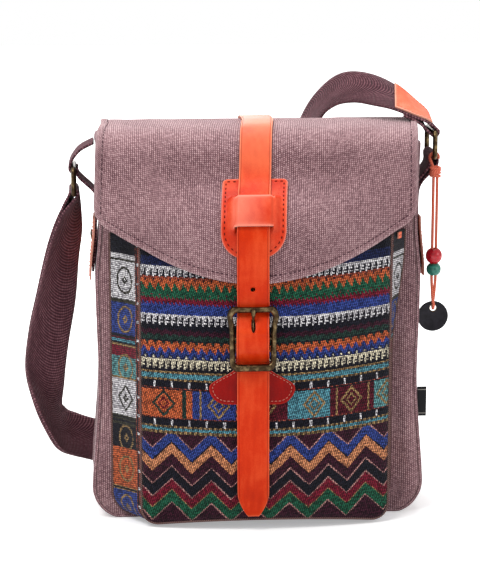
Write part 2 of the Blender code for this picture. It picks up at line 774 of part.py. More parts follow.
def make_tabs():
    """Webbing tabs that hold the rings to the sides."""
    loop = RING_WIRE + GAP + TAB_THICKNESS / 2
    inner = GAP + TAB_THICKNESS / 2 + 0.2
    outer = inner + TAB_THICKNESS + GAP
    right = [(side_at(z) + inner, z) for z in (TAB_FOOT_Z, TAB_MIDDLE_Z, 245.0, 262.0)]
    right.append((RIGHT_RING_X - loop - 0.6, RIGHT_RING_Z - 8.0))
    for k in range(9):
        angle = math.radians(lerp(190.0, -10.0, k / 8))
        right.append((RIGHT_RING_X + loop * math.cos(angle), RIGHT_RING_Z + loop * math.sin(angle)))
    right.append((RIGHT_RING_X + loop - 1.2, RIGHT_RING_Z - 8.0))
    right += [(side_at(z) + outer + extra, z)
              for z, extra in ((263.0, 1.6), (246.0, 0.0), (TAB_MIDDLE_Z, 0.0), (TAB_FOOT_Z, 0.0))]
    left = [(-side_at(z) - inner, z) for z in (TAB_FOOT_Z, TAB_MIDDLE_Z, 245.0, 258.0)]
    left.append((LEFT_RING_X + loop + 0.9, LEFT_RING_Z - 7.0))
    for k in range(9):
        angle = math.radians(lerp(-20.0, -200.0, k / 8))
        left.append((LEFT_RING_X + loop * math.cos(angle), LEFT_RING_Z + loop * math.sin(angle)))
    left += [(LEFT_RING_X - 0.8, LEFT_RING_Z + 7.0), (LEFT_RING_X + 5.5, 293.0),
             (-side_at(TAB_TOP_Z) - inner, TAB_TOP_Z)]
    for name, points in (("right_ring_tab", right), ("left_ring_tab", left)):

        def place(i, j):
            x, z = points[j]
            return (x, RING_Y + TAB_WIDTH * (0.5 - i / 3), z)

        sheet(name, 3, len(points) - 1, place, TAB_THICKNESS, 0, WEBBING)
    for name, sign, lift in (("right_tab_patch", 1, outer), ("left_tab_patch", -1, inner)):
        seat = lift + TAB_THICKNESS / 2 + GAP + TAB_PATCH_THICKNESS

        def place(i, j):
            z = lerp(TAB_PATCH_LOW, TAB_PATCH_HIGH, j / 6)
            y = RING_Y + sign * TAB_PATCH_WIDTH * (i / 4 - 0.5)
            return (sign * (side_at(z) + seat), y, z)

        sheet(name, 4, 6, place, TAB_PATCH_THICKNESS, -1, ORANGE_LEATHER)
        face = side_at(RIVET_Z) + seat + GAP + RIVET_HEIGHT / 2 + 0.1
        rivet = cylinder(name.replace("patch", "rivet"), RIVET_RADIUS, RIVET_HEIGHT,
                         (sign * face, RING_Y, RIVET_Z), "X", BRASS)
        dome = rivet.modifiers.new("dome", "BEVEL")
        dome.width = RIVET_HEIGHT * 0.3 * MM
        dome.segments = 2


def beside(out):
    """Where a point of the strap lies, a distance out from the bag's left side."""
    return -WAIST_HALF_WIDTH - out


# The strap's two edges along its lie, from the left ring, round behind the bag, to the right ring
STRAP_LIE = [
    ((LEFT_RING_X, -10.0, 258.5), (LEFT_RING_X, 26.0, 258.5)),
    ((beside(30.8), -12.0, 240.0), (beside(11.9), 22.0, 228.0)),
    ((beside(40.9), -6.0, 216.9), (beside(13.3), 24.0, 200.0)),
    ((beside(50.6), 6.0, 178.2), (beside(15.8), 28.0, 165.2)),
    ((beside(57.9), 14.0, 145.4), (beside(21.8), 30.0, 130.3)),
    ((beside(60.4), 20.0, 112.7), (beside(26.9), 36.0, 99.2)),
    ((beside(52.8), 22.0, 82.4), (beside(31.5), 52.0, 75.1)),
    ((beside(42.1), 32.0, 55.2), (beside(30.9), 62.0, 67.2)),
    ((beside(32.8), 46.0, 34.5), (beside(27.6), 68.0, 63.3)),
    ((beside(20.6), 60.0, 24.0), (beside(18.7), 72.0, 59.7)),
    ((beside(3.7), 69.0, 17.0), (beside(3.2), 73.0, 54.1)),
    ((-104.0, 74.0, 9.0), (-104.0, 82.0, 45.0)),
    ((-72.0, 74.0, 4.5), (-72.0, 100.0, 30.0)),
    ((-40.0, 70.0, 3.5), (-40.0, 106.0, 9.0)),
    ((-10.0, 68.0, 8.0), (-14.0, 104.0, 9.0)),
    ((12.0, 66.0, 30.0), (2.0, 100.0, 32.0)),
    ((25.0, 65.0, 70.0), (7.0, 95.0, 70.0)),
    ((29.0, 64.0, 120.0), (11.0, 94.0, 120.0)),
    ((33.0, 63.0, 170.0), (15.0, 93.0, 170.0)),
    ((40.0, 62.0, 220.0), (20.0, 91.0, 220.0)),
    ((46.0, 61.0, 270.0), (32.0, 93.0, 268.0)),
    ((56.0, 58.0, 306.0), (46.0, 90.0, 306.0)),
    ((67.0, 46.0, 320.0), (58.0, 78.0, 328.0)),
    ((80.0, 30.0, 325.0), (74.0, 58.0, 344.0)),
    ((94.0, 14.0, 325.0), (92.0, 40.0, 346.0)),
    ((110.0, 0.0, 322.0), (114.0, 32.0, 338.0)),
    ((130.0, -8.0, 314.0), (134.0, 28.0, 320.0)),
    ((RIGHT_RING_X, -10.0, RIGHT_RING_Z + RING_HEIGHT), (RIGHT_RING_X, 26.0, RIGHT_RING_Z + RING_HEIGHT)),
]
SLIDER_Z = 122.0


class Lie:
    """The strap's lie: its middle line, its width direction and its face direction."""

    def __init__(self):
        middles = [(np.array(a) + np.array(b)) / 2 for a, b in STRAP_LIE]
        widths = [(np.array(b) - np.array(a)) / np.linalg.norm(np.array(b) - np.array(a))
                  for a, b in STRAP_LIE]
        joined = [np.concatenate([m, w * 30.0]) for m, w in zip(middles, widths)]
        both = Path(joined, 20)
        line = both.dense[:, :3]
        steps = np.linalg.norm(np.diff(line, axis=0), axis=1)
        self.reach = np.concatenate([[0.0], np.cumsum(steps)])
        self.length = self.reach[-1]
        self.dense = both.dense

    def read(self, distance):
        row = np.array([np.interp(distance, self.reach, self.dense[:, k]) for k in range(6)])
        return row[:3], row[3:] / np.linalg.norm(row[3:])

    def frame(self, distance):
        middle, width = self.read(distance)
        ahead = self.read(min(distance + 1.0, self.length))[0]
        behind = self.read(max(distance - 1.0, 0.0))[0]
        tangent = ahead - behind
        tangent = tangent - width * (width @ tangent)
        tangent = tangent / np.linalg.norm(tangent)
        return middle, tangent, width, np.cross(tangent, width)

FAR_AWAY = 10000.0               # further than any point of the strap


def slider_place(lie):
    """Distance along the lie at which the slider sits, on the upright stretch behind the bag."""
    dense = lie.dense
    behind = (dense[:, 1] > 60.0) & (dense[:, 0] > 0.0) & (dense[:, 2] < 200.0)
    height = np.where(behind, np.abs(dense[:, 2] - SLIDER_Z), FAR_AWAY)
    return lie.reach[int(np.argmin(height))]


LAYER = WEB_THICKNESS / 2 + GAP


def hook(lie, distance, radius, start, end, steps=7):
    """Turns of webbing round a bar that lies across the strap."""
    middle, tangent, width, face = lie.frame(distance)
    turns = []
    for k in range(steps + 1):
        angle = math.radians(lerp(start, end, k / steps))
        turns.append((middle + radius * (math.cos(angle) * tangent + math.sin(angle) * face), width))
    return turns


def strap_frames(lie):
    """The webbing's middle points and width directions, from its sewn tail to its sewn end."""
    slider = slider_place(lie)
    bar = SLIDER_WIRE + GAP + WEB_THICKNESS / 2
    ring = RING_WIRE + GAP + WEB_THICKNESS / 2
    clear = SLIDER_WIRE + GAP / 2
    near = [3.0, 8.0, SLIDER_HALF_LENGTH - clear, SLIDER_HALF_LENGTH + clear]
    plain = np.arange(5.0, lie.length - 5.0, 7.0)
    plain = [d for d in plain if abs(d - slider) > SLIDER_HALF_LENGTH + 5.0]
    frames = hook(lie, slider, bar, 130.0, -90.0, 7)
    doubled = [d for d in plain if d < slider]
    for distance in sorted(doubled + [slider - step for step in near], reverse=True):
        middle, tangent, width, face = lie.frame(distance)
        away = slider - distance
        beneath = bar + WEB_THICKNESS + GAP
        if away < SLIDER_HALF_LENGTH:
            lift = -lerp(bar, beneath, smooth((away - near[0]) / (near[2] - near[0])))
        else:
            lift = -lerp(beneath, LAYER, smooth((away - near[3]) / 26.0))
        lift -= smooth(1 - distance / 22.0) * (ring - LAYER)
        frames.append((middle + face * lift, width))
    frames += hook(lie, 0.0, ring, 270.0, 90.0)
    weave = [slider + sign * step for sign in (-1, 1) for step in near]
    for distance in sorted(plain + weave):
        middle, tangent, width, face = lie.frame(distance)
        near_ring = smooth(1 - distance / 22.0)
        lift = LAYER + near_ring * (ring - LAYER)
        away = distance - slider
        if abs(away) < 45.0:
            over = bar + WEB_THICKNESS + GAP + 0.1
            under = -bar
            if abs(away) < SLIDER_HALF_LENGTH:
                lift = lerp(over, under, smooth((abs(away) - near[0]) / (near[2] - near[0])))
            else:
                calm = LAYER if away < 0 else 0.0
                lift = lerp(under, calm, smooth((abs(away) - near[3]) / 26.0))
        elif away > 0:
            near_end = smooth(1 - (lie.length - distance) / 24.0)
            lift = near_end * ring
        frames.append((middle + face * lift, width))
    frames += hook(lie, lie.length, ring, 90.0, -90.0)
    distance = lie.length - 6.0
    while distance > lie.length - PATCH_LENGTH:
        middle, tangent, width, face = lie.frame(distance)
        near_end = smooth(1 - (lie.length - distance) / 24.0)
        main = near_end * ring
        lift = main - WEB_THICKNESS - GAP - near_end * (2 * ring - WEB_THICKNESS - GAP)
        frames.append((middle + face * lift, width))
        distance -= 6.0
    return frames


def make_shoulder_strap():
    lie = Lie()
    frames = strap_frames(lie)
    across = 2

    def place(i, j):
        middle, width = frames[j]
        return middle + width * WEB_WIDTH * (i / across - 0.5)

    sheet("shoulder_strap", across, len(frames) - 1, place, WEB_THICKNESS, 0, WEBBING)
    start = lie.length - PATCH_LENGTH - 8.0
    rows = 8

    def patch(i, j):
        distance = start + PATCH_LENGTH * j / rows
        middle, tangent, width, face = lie.frame(distance)
        ring = RING_WIRE + GAP + WEB_THICKNESS / 2
        lift = smooth(1 - (lie.length - distance) / 24.0) * ring
        lift += WEB_THICKNESS / 2 + GAP + PATCH_THICKNESS / 2 + 0.1
        return middle + face * lift + width * (WEB_WIDTH - 1.0) * (i / 4 - 0.5)

    sheet("strap_end_patch", 4, rows, patch, PATCH_THICKNESS, 0, ORANGE_LEATHER)
    middle, tangent, width, face = lie.frame(slider_place(lie))
    outline = rounded_rectangle(SLIDER_HALF_LENGTH, SLIDER_HALF_WIDTH, 3.0, 3)
    slider = wire("strap_slider", [middle + a * tangent + b * width for a, b in outline], SLIDER_WIRE, BRASS,
                  closed=True)
    bar = wire("slider_bar", [middle - width * SLIDER_HALF_WIDTH, middle + width * SLIDER_HALF_WIDTH],
               SLIDER_WIRE * 0.98, BRASS, group=CUTTERS)
    join(slider, bar, "UNION")


# Charm

def make_charm():
    x, y = CHARM_X, CHARM_Y
    spread = CORD_HALF_SPREAD
    hole_z = DISC_Z + DISC_HOLE_ABOVE
    wrap = RING_WIRE + GAP + CORD_RADIUS
    ring_y = RING_Y - RING_LENGTH / 2 + RING_CORNER
    top = [(x + wrap * math.cos(math.radians(a)), y + (ring_y - y) * 0.98, CHARM_TOP_Z
            + wrap * math.sin(math.radians(a))) for a in (-20, 20, 55, 90, 125, 160, 200)]
    left = [(x - spread, y + 0.9, CHARM_TOP_Z - 9.0), (x - spread, y, CHARM_TOP_Z - 20.0),
            (x - spread, y, RED_BEAD_Z), (x - spread, y, GREEN_BEAD_Z), (x - spread, y, GREEN_BEAD_Z - 9.0)]
    low = [(x - 0.7, y - 1.6, hole_z + 8.0), (x, y - 2.3, hole_z + 4.0), (x, y - 2.2, hole_z + 1.0),
           (x, y, hole_z - 0.6), (x, y + 2.2, hole_z + 1.0), (x, y + 2.3, hole_z + 4.0),
           (x + 0.7, y + 1.6, hole_z + 8.0)]
    right = [(x + spread, py, pz) for px, py, pz in reversed(left)]
    path = Path(top + left + low + right, 6)
    turns = 76
    points = [path.at(path.length * k / turns) for k in range(turns)]
    wire("charm_cord", points, CORD_RADIUS, CORD, closed=True, resolution=2)
    for name, z, radius, half, finish in (
            ("charm_bead_red", RED_BEAD_Z, RED_BEAD_RADIUS, RED_BEAD_HALF, RED_GLAZE),
            ("charm_bead_green", GREEN_BEAD_Z, GREEN_BEAD_RADIUS, GREEN_BEAD_HALF, GREEN_GLAZE)):
        profile = [(BEAD_HOLE, half * 0.93)]
        for k in range(9):
            angle = math.radians(lerp(62.0, -62.0, k / 8))
            height = half * math.sin(angle) / math.sin(math.radians(62))
            profile.append((radius * math.cos(angle) ** 0.8, height))
        profile.append((BEAD_HOLE, -half * 0.93))
        turned(name, profile, (x, y, z), finish)
    disc = cylinder("charm_disc", DISC_RADIUS, DISC_THICKNESS, (x, y, DISC_Z), "Y", BLACK_DISC, sides=40)
    hole = cylinder("disc_hole", DISC_HOLE, 10.0, (x, y, hole_z), "Y", BLACK_DISC, CUTTERS, 20)
    join(disc, hole, "DIFFERENCE")


def make_label():
    seat = side_x(BODY_FRONT + LABEL_THICKNESS, LABEL_Z - LABEL_LENGTH / 2)
    x = seat + GAP + LABEL_WIDTH / 2
    size = (LABEL_WIDTH, LABEL_THICKNESS, LABEL_LENGTH)
    box("side_label", size, (x, BODY_FRONT + 0.5, LABEL_Z), LABEL_CLOTH)


make_side_gusset()
make_body_panels()
make_pocket()
make_corner_tab()
make_flap()
make_closure_strap()
make_keeper()
make_buckle()
make_anchor()
make_rings()
make_tabs()
make_shoulder_strap()
make_charm()
make_label()
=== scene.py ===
"""The look of a canvas messenger bag: woven front pocket, leather closure strap and webbing shoulder strap.

Lengths are millimetres unless a name says otherwise, and MM turns them into metres.
"""
import functools
import math

import bmesh
import bpy
import numpy as np
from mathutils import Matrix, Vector, noise


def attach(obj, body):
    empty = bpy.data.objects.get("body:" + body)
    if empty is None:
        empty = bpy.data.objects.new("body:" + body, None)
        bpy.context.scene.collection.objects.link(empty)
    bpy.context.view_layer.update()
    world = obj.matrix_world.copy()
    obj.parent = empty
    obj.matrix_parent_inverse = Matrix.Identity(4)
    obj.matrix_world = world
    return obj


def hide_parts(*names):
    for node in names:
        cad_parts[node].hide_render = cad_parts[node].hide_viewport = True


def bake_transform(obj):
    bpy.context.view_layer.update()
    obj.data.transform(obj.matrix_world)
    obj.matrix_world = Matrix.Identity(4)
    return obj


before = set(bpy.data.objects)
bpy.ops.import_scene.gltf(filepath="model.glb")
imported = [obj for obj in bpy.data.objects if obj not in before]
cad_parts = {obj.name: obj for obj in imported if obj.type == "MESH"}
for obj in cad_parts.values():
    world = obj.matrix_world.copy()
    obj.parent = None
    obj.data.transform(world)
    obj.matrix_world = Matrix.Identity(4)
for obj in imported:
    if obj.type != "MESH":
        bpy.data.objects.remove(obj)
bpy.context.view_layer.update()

MM = 0.001
GAP = 0.3

# Camera and light
CAMERA_AZIMUTH = -4.0
CAMERA_ELEVATION = 12.0
CAMERA_DISTANCE = 1700.0
CAMERA_TARGET = (-12.5, 0.0, 175.0)
LENS = 130.0
SENSOR = 36.0
AMBIENT = 0.41
WHITE_BACKGROUND = 1.0
FLOOR_GLOW = 0.36
FLOOR_FAR_GLOW = 0.8
FLOOR_FAR = 900.0
FLOOR_HALF = 4000.0
LAMP_TARGET = (0.0, 0.0, 150.0)
# Name, place, size and power
LAMPS = [("key", (-900.0, -900.0, 1900.0), 900.0, 27.0), ("top", (-100.0, 350.0, 1500.0), 1000.0, 14.0),
         ("fill", (1500.0, -1100.0, 900.0), 1100.0, 10.0), ("rear", (-300.0, 1700.0, 900.0), 1200.0, 14.0)]

# Body shell
CLOTH = 1.5
BODY_TOP = 300.0
BODY_FRONT = -30.0
BODY_BACK = 48.0
WAIST_HALF_WIDTH = 126.5
FOOT_FLARE = 5.5
FOOT_FLARE_HEIGHT = 70.0
SHOULDER_FLARE = 3.0
CORNER_RADIUS = 26.0
SIDE_BULGE = 1.5
BODY_PULL = 4.2                 # how far the sides are drawn in under the flap
PULL_FROM_Z = 190.0
PULL_RUN = 50.0
BODY_WAIST = 1.6                # and half way up
BODY_WAIST_Z = 110.0
BODY_WAIST_RUN = 42.0
BACK_BULGE = 5.0
SEAM_RADIUS = 1.5
HEM_WIDTH = 5.5                 # from a hemmed edge to its stitch line
HEM_LIFT = 0.8

# Front pocket
POCKET_TOP = 232.0
POCKET_BASE_HALF = 118.0
POCKET_BASE_SHIFT = -3.0
POCKET_BASE_RADIUS = 20.0
POCKET_BASE_BOTTOM = 3.0
POCKET_FACE_HALF = 97.5
POCKET_FACE_SHIFT = 3.5
POCKET_FACE_RADIUS = 14.0
POCKET_FACE_BOTTOM = 1.5
POCKET_FACE_ARCH = 7.5
POCKET_FACE_Y = -58.0
POCKET_BULGE = 24.0
POCKET_FOOT_BULGE = 0.6
POCKET_FOOT_HEIGHT = 60.0
POCKET_BASE_LIP = 1.3
POCKET_TUCK = 9.5               # how far the right gusset's foot is drawn in behind the face
POCKET_TUCK_TOP = 226.0
POCKET_TUCK_RUN = 100.0
POCKET_LEFT_TUCK = 4.6          # and how far its left side is
ROWS_RISE = 4.0                 # how far the pattern's rows rise towards the right seam
PIPING_RADIUS = 0.8

# Flap
FLAP_THICKNESS = 2.0
FLAP_HALF = 123.0
FLAP_TIP_Z = 200.0
FLAP_RISE = 47.0
FLAP_POWER = 1.9
FLAP_REACH = FLAP_HALF + 2.0    # with the hem's roll
EDGE_SLANT = 0.94               # distance from the slanting lower edge, for each unit along the flap
FLAP_CORNER = 9.0
FLAP_CLEAR = 3.3
FLAP_TOP_Z = 313.0
LEAN_TOP = 3.0
LEAN_SLOPE = 0.115

# Closure strap, its keeper, buckle and anchor
STRAP_WIDTH = 25.4
STRAP_THICKNESS = 2.2
STRAP_SHIFT = -1.5
STRAP_TIP_Z = 13.0
STRAP_TAPER = 22.0
KEEPER_THICKNESS = 2.0
KEEPER_SEAT = 0.6
KEEPER_HALF = 25.0
KEEPER_TOP_Z = 274.5
KEEPER_BOTTOM_Z = 220.0
KEEPER_RADIUS = 22.0
KEEPER_TOP_RADIUS = 4.0
BRIDGE_TOP_Z = 261.0
BRIDGE_BOTTOM_Z = 243.5
BRIDGE_FLAT = STRAP_WIDTH / 2 + 1.8
SLIT_END = BRIDGE_FLAT + 0.6
BRIDGE_CREST = 12.0
BRIDGE_SPREAD = 6.5
BRIDGE_SHARE = 0.62             # share of the crest's height at the slits' ends
BUCKLE_Z = 158.5
BUCKLE_Y = -89.2
BUCKLE_HALF_WIDTH = 17.8
BUCKLE_HALF_HEIGHT = 22.6
BUCKLE_CORNER = 5.0
BUCKLE_WIRE = 2.25
BUCKLE_WAIST = 2.0              # how far the side bars stand in from the ears
BUCKLE_FOOT_WIRE = 2.8          # radius of the lower bar
BUCKLE_FOOT_FORWARD = 1.2       # how far the lower bar stands in front of the others
BUCKLE_EAR_WIRE = 2.9           # radius at the upper corners
CENTRE_BAR = 1.6
BUCKLE_SWING_GAP = 0.9
ANCHOR_THICKNESS = 1.4
ANCHOR_BOTTOM_Z = 105.0
ANCHOR_WIDE_HALF = 33.0
ANCHOR_NECK_HALF = 12.5
ANCHOR_RADIUS = 13.0
ANCHOR_NECK_Z = 118.0           # where the patch begins to narrow into its neck
ANCHOR_NECK_RUN = 17.0
PRONG_WIRE = 1.0
PRONG_TIP_WIDE = 3.3
PRONG_SLOT_HALF = 1.9
STRAP_CREST = -93.9
SLOT_LOW = 4.3
SLOT_HIGH = 13.6
SPARE_HOLE_ABOVE = 38.0
SPARE_HOLE_RADIUS = 1.8

# Shoulder strap fittings
WEB_WIDTH = 36.0
WEB_THICKNESS = 1.8
RING_LENGTH = 42.0
RING_HEIGHT = 20.0
RING_CORNER = 3.5
RING_WIRE = 2.0
RING_Y = 8.0
RIGHT_RING_X = 141.0
RIGHT_RING_Z = 285.0
LEFT_RING_X = -144.0
LEFT_RING_Z = 278.5
# Points on the webbing a way from each ring; the right one sets where the right ring's length begins
LEFT_STILL = (-158.0, 8.0, 196.0)
RIGHT_STILL = (100.0, 15.3, 327.0)
TAB_WIDTH = 30.0
TAB_THICKNESS = 1.8
TAB_FOOT_Z = 196.0
TAB_PATCH_WIDTH = 38.0
TAB_PATCH_LOW = 190.0
TAB_PATCH_HIGH = 238.0
TAB_PATCH_THICKNESS = 1.5
RIVET_Z = 224.0
SLIDER_HALF_LENGTH = 15.0
SLIDER_HALF_WIDTH = 20.8
SLIDER_WIRE = 1.7
SLIDER_Z = 122.0
SLIDER_REACH = 58.0             # how far from the slider the webbing's lengths beside it end
PATCH_THICKNESS = 1.5
PATCH_LENGTH = 32.0
PATCH_WIDTH = WEB_WIDTH - 1.0
# Shares of a patch's width, with two columns close to each edge
PATCH_EDGES = [-0.5, -0.485, 0.485, 0.5]
LAYER = WEB_THICKNESS / 2 + GAP
RING_LAYER = RING_WIRE + GAP + WEB_THICKNESS / 2
# Lengths over which the webbing bends from its lie to the left ring, the right ring and the slider
LEFT_RING_RUN = 22.0
RIGHT_RING_RUN = 24.0
SLIDER_RUN = 26.0
WIDTH_WEIGHT = 30.0             # size at which a width direction is carried along with a middle line

# Charm
CHARM_X = 141.0
CHARM_Y = -17.0
CORD_RADIUS = 1.2
CORD_HALF_SPREAD = 1.5
CHARM_TOP_Z = RIGHT_RING_Z
BEAD_HOLE = 3.1
RED_BEAD_Z = 207.2
RED_BEAD_RADIUS = 6.6
RED_BEAD_HALF = 5.7
GREEN_BEAD_Z = 196.3
GREEN_BEAD_RADIUS = 5.9
GREEN_BEAD_HALF = 4.6
BEAD_TURN = 62.0                # degrees of a bead's round side over and under its middle
DISC_Z = 158.0
DISC_RADIUS = 12.3
DISC_THICKNESS = 1.6
DISC_HOLE = 2.6
DISC_HOLE_ABOVE = 6.8

# Small trim
LABEL_LENGTH = 24.0
LABEL_WIDTH = 7.7
LABEL_THICKNESS = 1.0
LABEL_Z = 91.0
CORNER_TAB_WIDTH = 6.0
CORNER_TAB_HEIGHT = 5.0


# Numbers and curves

def smooth(t):
    t = np.clip(t, 0.0, 1.0)
    return t * t * (3.0 - 2.0 * t)


def lerp(a, b, t):
    return a + (b - a) * t


def unit(vector):
    return vector / np.linalg.norm(vector, axis=-1, keepdims=True)


def ripple(x, y, z, size):
    """Smooth noise from -1 to 1 whose waves are about the given size."""
    return noise.noise(Vector((x / size, y / size, z / size)))


def sweep(start, end, steps):
    """Cosine and sine at even steps from one angle to another, in degrees."""
    angles = [math.radians(lerp(start, end, k / steps)) for k in range(steps + 1)]
    return [(math.cos(angle), math.sin(angle)) for angle in angles]


def reach_of(points):
    """Distance along a line at each of its points."""
    return np.concatenate([[0.0], np.cumsum(np.linalg.norm(np.diff(points, axis=0), axis=1))])


def read_line(spots, reach, points):
    """Points of a line at the given distances along it."""
    return np.stack([np.interp(spots, reach, column) for column in points.T], axis=-1)


class Path:
    """A smooth curve through points, read by its length."""

    def __init__(self, points, steps=24):
        points = [np.array(p, float) for p in points]
        ends = [2 * points[0] - points[1]] + points + [2 * points[-1] - points[-2]]
        dense = []
        for before, start, end, after in zip(ends, ends[1:], ends[2:], ends[3:]):
            for step in range(steps):
                t = step / steps
                dense.append(0.5 * (2 * start + (end - before) * t
                                    + (2 * before - 5 * start + 4 * end - after) * t * t
                                    + (3 * start - before - 3 * end + after) * t ** 3))
        dense.append(points[-1])
        self.dense = np.array(dense)
        self.reach = reach_of(self.dense)
        self.length = self.reach[-1]

    def at(self, distance):
        return read_line(distance, self.reach, self.dense)

    def tangent(self, distance, step=0.5):
        a = self.at(np.maximum(distance - step, 0.0))
        b = self.at(np.minimum(distance + step, self.length))
        return unit(b - a)

    def where(self, axis, value):
        """Last distance at which one coordinate passes a value."""
        side = self.dense[:, axis] - value
        crossing = np.nonzero(side[:-1] * side[1:] <= 0)[0][-1]
        share = side[crossing] / (side[crossing] - side[crossing + 1])
        return lerp(self.reach[crossing], self.reach[crossing + 1], share)


def rounded_rectangle(half_a, half_b, radius, steps=5):
    """Corner arcs of a rounded rectangle, counter-clockwise, as (a, b) pairs."""
    places = []
    for corner in range(4):
        ca = (half_a - radius) * (1 if corner in (0, 3) else -1)
        cb = (half_b - radius) * (1 if corner in (0, 1) else -1)
        arc = sweep(90.0 * corner, 90.0 * (corner + 1), steps)
        places += [(ca + radius * a, cb + radius * b) for a, b in arc]
    return places


def closed_line(points, step):
    """A closed outline read again at even steps, so that its straight sides have points too."""
    ring = np.array(list(points) + [points[0]], float)
    reach = reach_of(ring)
    return read_line(np.linspace(0.0, reach[-1], int(reach[-1] / step), endpoint=False), reach, ring)


# Making pieces

def dress(item, body, slot, *nodes):
    """Ride a piece on its body, and say which CAD nodes it stands for; the slot argument is not used."""
    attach(item, body)
    if nodes:
        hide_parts(*nodes)
    return item


def show(name, mesh, *finishes):
    item = bpy.data.objects.new(name, mesh)
    bpy.context.scene.collection.objects.link(item)
    for finish in finishes:
        item.data.materials.append(finish)
    return item


def settle(item):
    """Turn a piece's modifiers into its mesh."""
    depsgraph = bpy.context.evaluated_depsgraph_get()
    mesh = bpy.data.meshes.new_from_object(item.evaluated_get(depsgraph), preserve_all_data_layers=True,
                                           depsgraph=depsgraph)
    item.modifiers.clear()
    item.data = mesh
    mesh.name = item.name
    return item


def mesh_of(name, points, marks, closed=(False, False), wear_and_highlight=None):
    """A mesh from a grid of points, with its cloth measure in millimetres as the UV map."""
    rows, columns = points.shape[:2]
    row_count = rows if closed[0] else rows - 1
    column_count = columns if closed[1] else columns - 1
    faces, places = [], []
    for j in range(row_count):
        for i in range(column_count):
            for dj, di in ((0, 0), (0, 1), (1, 1), (1, 0)):
                faces.append(((j + dj) % rows) * columns + (i + di) % columns)
                places.append(marks[j + dj][i + di])
    mesh = bpy.data.meshes.new(name)
    quads = np.array(faces).reshape(-1, 4).tolist()
    mesh.from_pydata((points * MM).reshape(-1, 3).tolist(), [], quads)
    layer = mesh.uv_layers.new(name="mm")
    layer.data.foreach_set("uv", np.array(places, np.float32).ravel())
    if wear_and_highlight is not None:
        edge = mesh.attributes.new("wear_and_highlight", "FLOAT", "POINT")
        edge.data.foreach_set("value", np.asarray(wear_and_highlight, np.float32).ravel())
    mesh.shade_smooth()
    return mesh


def measure(points):
    """Marks of a grid: millimetres across from its middle column, and along from its first row."""
    across = np.cumsum(np.linalg.norm(np.diff(points, axis=1, prepend=points[:, :1]), axis=2), axis=1)
    across -= across[:, across.shape[1] // 2][:, None]
    along = np.cumsum(np.linalg.norm(np.diff(points, axis=0, prepend=points[:1]), axis=2), axis=0)
    return np.stack([across, along], axis=-1)


def thicken(item, thickness, side=-1, even=False, bevel=0.0):
    """Give a face its thickness, behind it (-1) or to both sides (0), and round its cut edges."""
    solid = item.modifiers.new("thickness", "SOLIDIFY")
    solid.thickness = thickness * MM
    solid.offset = side
    solid.use_even_offset = even
    solid.material_offset = 1
    solid.material_offset_rim = 2
    if bevel:
        soft = item.modifiers.new("edge", "BEVEL")
        soft.width = bevel * MM
        soft.segments = 2
        soft.limit_method = "ANGLE"
        soft.angle_limit = math.radians(60)
    return settle(item)


def sheet(name, points, finish, thickness, side=-1, marks=None, inside=None, rim=None, wear_and_highlight=None, bevel=0.0):
    """Cloth or leather from a grid of points, with a finish for its face, its inside and its cut edges."""
    mesh = mesh_of(name, points, measure(points) if marks is None else marks, wear_and_highlight=wear_and_highlight)
    item = show(name, mesh, finish, inside or finish, rim or finish)
    return thicken(item, thickness, side, even=side != 0, bevel=bevel)


def bore(item, radius_a, radius_b, depth, centre):
    """Cut an oval hole along Y."""
    bm = bmesh.new()
    bmesh.ops.create_cone(bm, cap_ends=True, segments=32, radius1=1.0, radius2=1.0, depth=1.0)
    for vertex in bm.verts:
        x, y, z = vertex.co
        vertex.co = Vector((centre[0] + x * radius_a, centre[1] + z * depth, centre[2] - y * radius_b)) * MM
    mesh = bpy.data.meshes.new("bore")
    bm.to_mesh(mesh)
    bm.free()
    tool = show("bore", mesh)
    change = item.modifiers.new("bore", "BOOLEAN")
    change.operation = "DIFFERENCE"
    change.solver = "EXACT"
    change.object = tool
    settle(item)
    bpy.data.objects.remove(tool, do_unlink=True)


def smooth_mesh(name, bm):
    mesh = bpy.data.meshes.new(name)
    bm.to_mesh(mesh)
    bm.free()
    mesh.shade_smooth()
    return mesh


def fill_ends(bm):
    bmesh.ops.holes_fill(bm, edges=[edge for edge in bm.edges if edge.is_boundary])


def mend(mesh, sharp=None):
    """Fill a mesh's open ends, turn its faces outward and smooth all but edges sharper than some degrees."""
    bm = bmesh.new()
    bm.from_mesh(mesh)
    fill_ends(bm)
    bmesh.ops.recalc_face_normals(bm, faces=bm.faces)
    bm.to_mesh(mesh)
    bm.free()
    mesh.shade_smooth()
    if sharp:
        mesh.set_sharp_from_angle(angle=math.radians(sharp))
    return mesh


def tube_grid(points, radii, sides, closed=False):
    """Rings of points round a line, carried along without twist."""
    points = np.array(points, float)
    radii = np.broadcast_to(radii, len(points))
    if closed:
        tangents = unit(np.roll(points, -1, axis=0) - np.roll(points, 1, axis=0))
    else:
        tangents = unit(np.gradient(points, axis=0))
    start = np.array((1.0, 0.0, 0.0)) if abs(tangents[0][0]) < 0.8 else np.array((0.0, 1.0, 0.0))
    side = unit(start - tangents[0] * (start @ tangents[0]))
    angles = 2 * math.pi * np.arange(sides) / sides
    rings = []
    for point, tangent, radius in zip(points, tangents, radii):
        side = unit(side - tangent * (side @ tangent))
        up = np.cross(tangent, side)
        rings.append(point + radius * (np.cos(angles)[:, None] * side + np.sin(angles)[:, None] * up))
    return np.array(rings)


def tube(name, points, radii, finish, sides=12, closed=False):
    """A round wire or cord; its marks run round it and along it."""
    grid = tube_grid(points, radii, sides, closed)
    line = np.array(points, float)
    along = reach_of(np.vstack([line, line[:1]]))[:len(line) + closed]
    around = 2 * math.pi * float(np.mean(radii)) * np.arange(sides + 1) / sides
    marks = np.stack(np.meshgrid(around, along), axis=-1)
    mesh = mesh_of(name, grid, marks, closed=(closed, True))
    return show(name, mesh if closed else mend(mesh), finish)


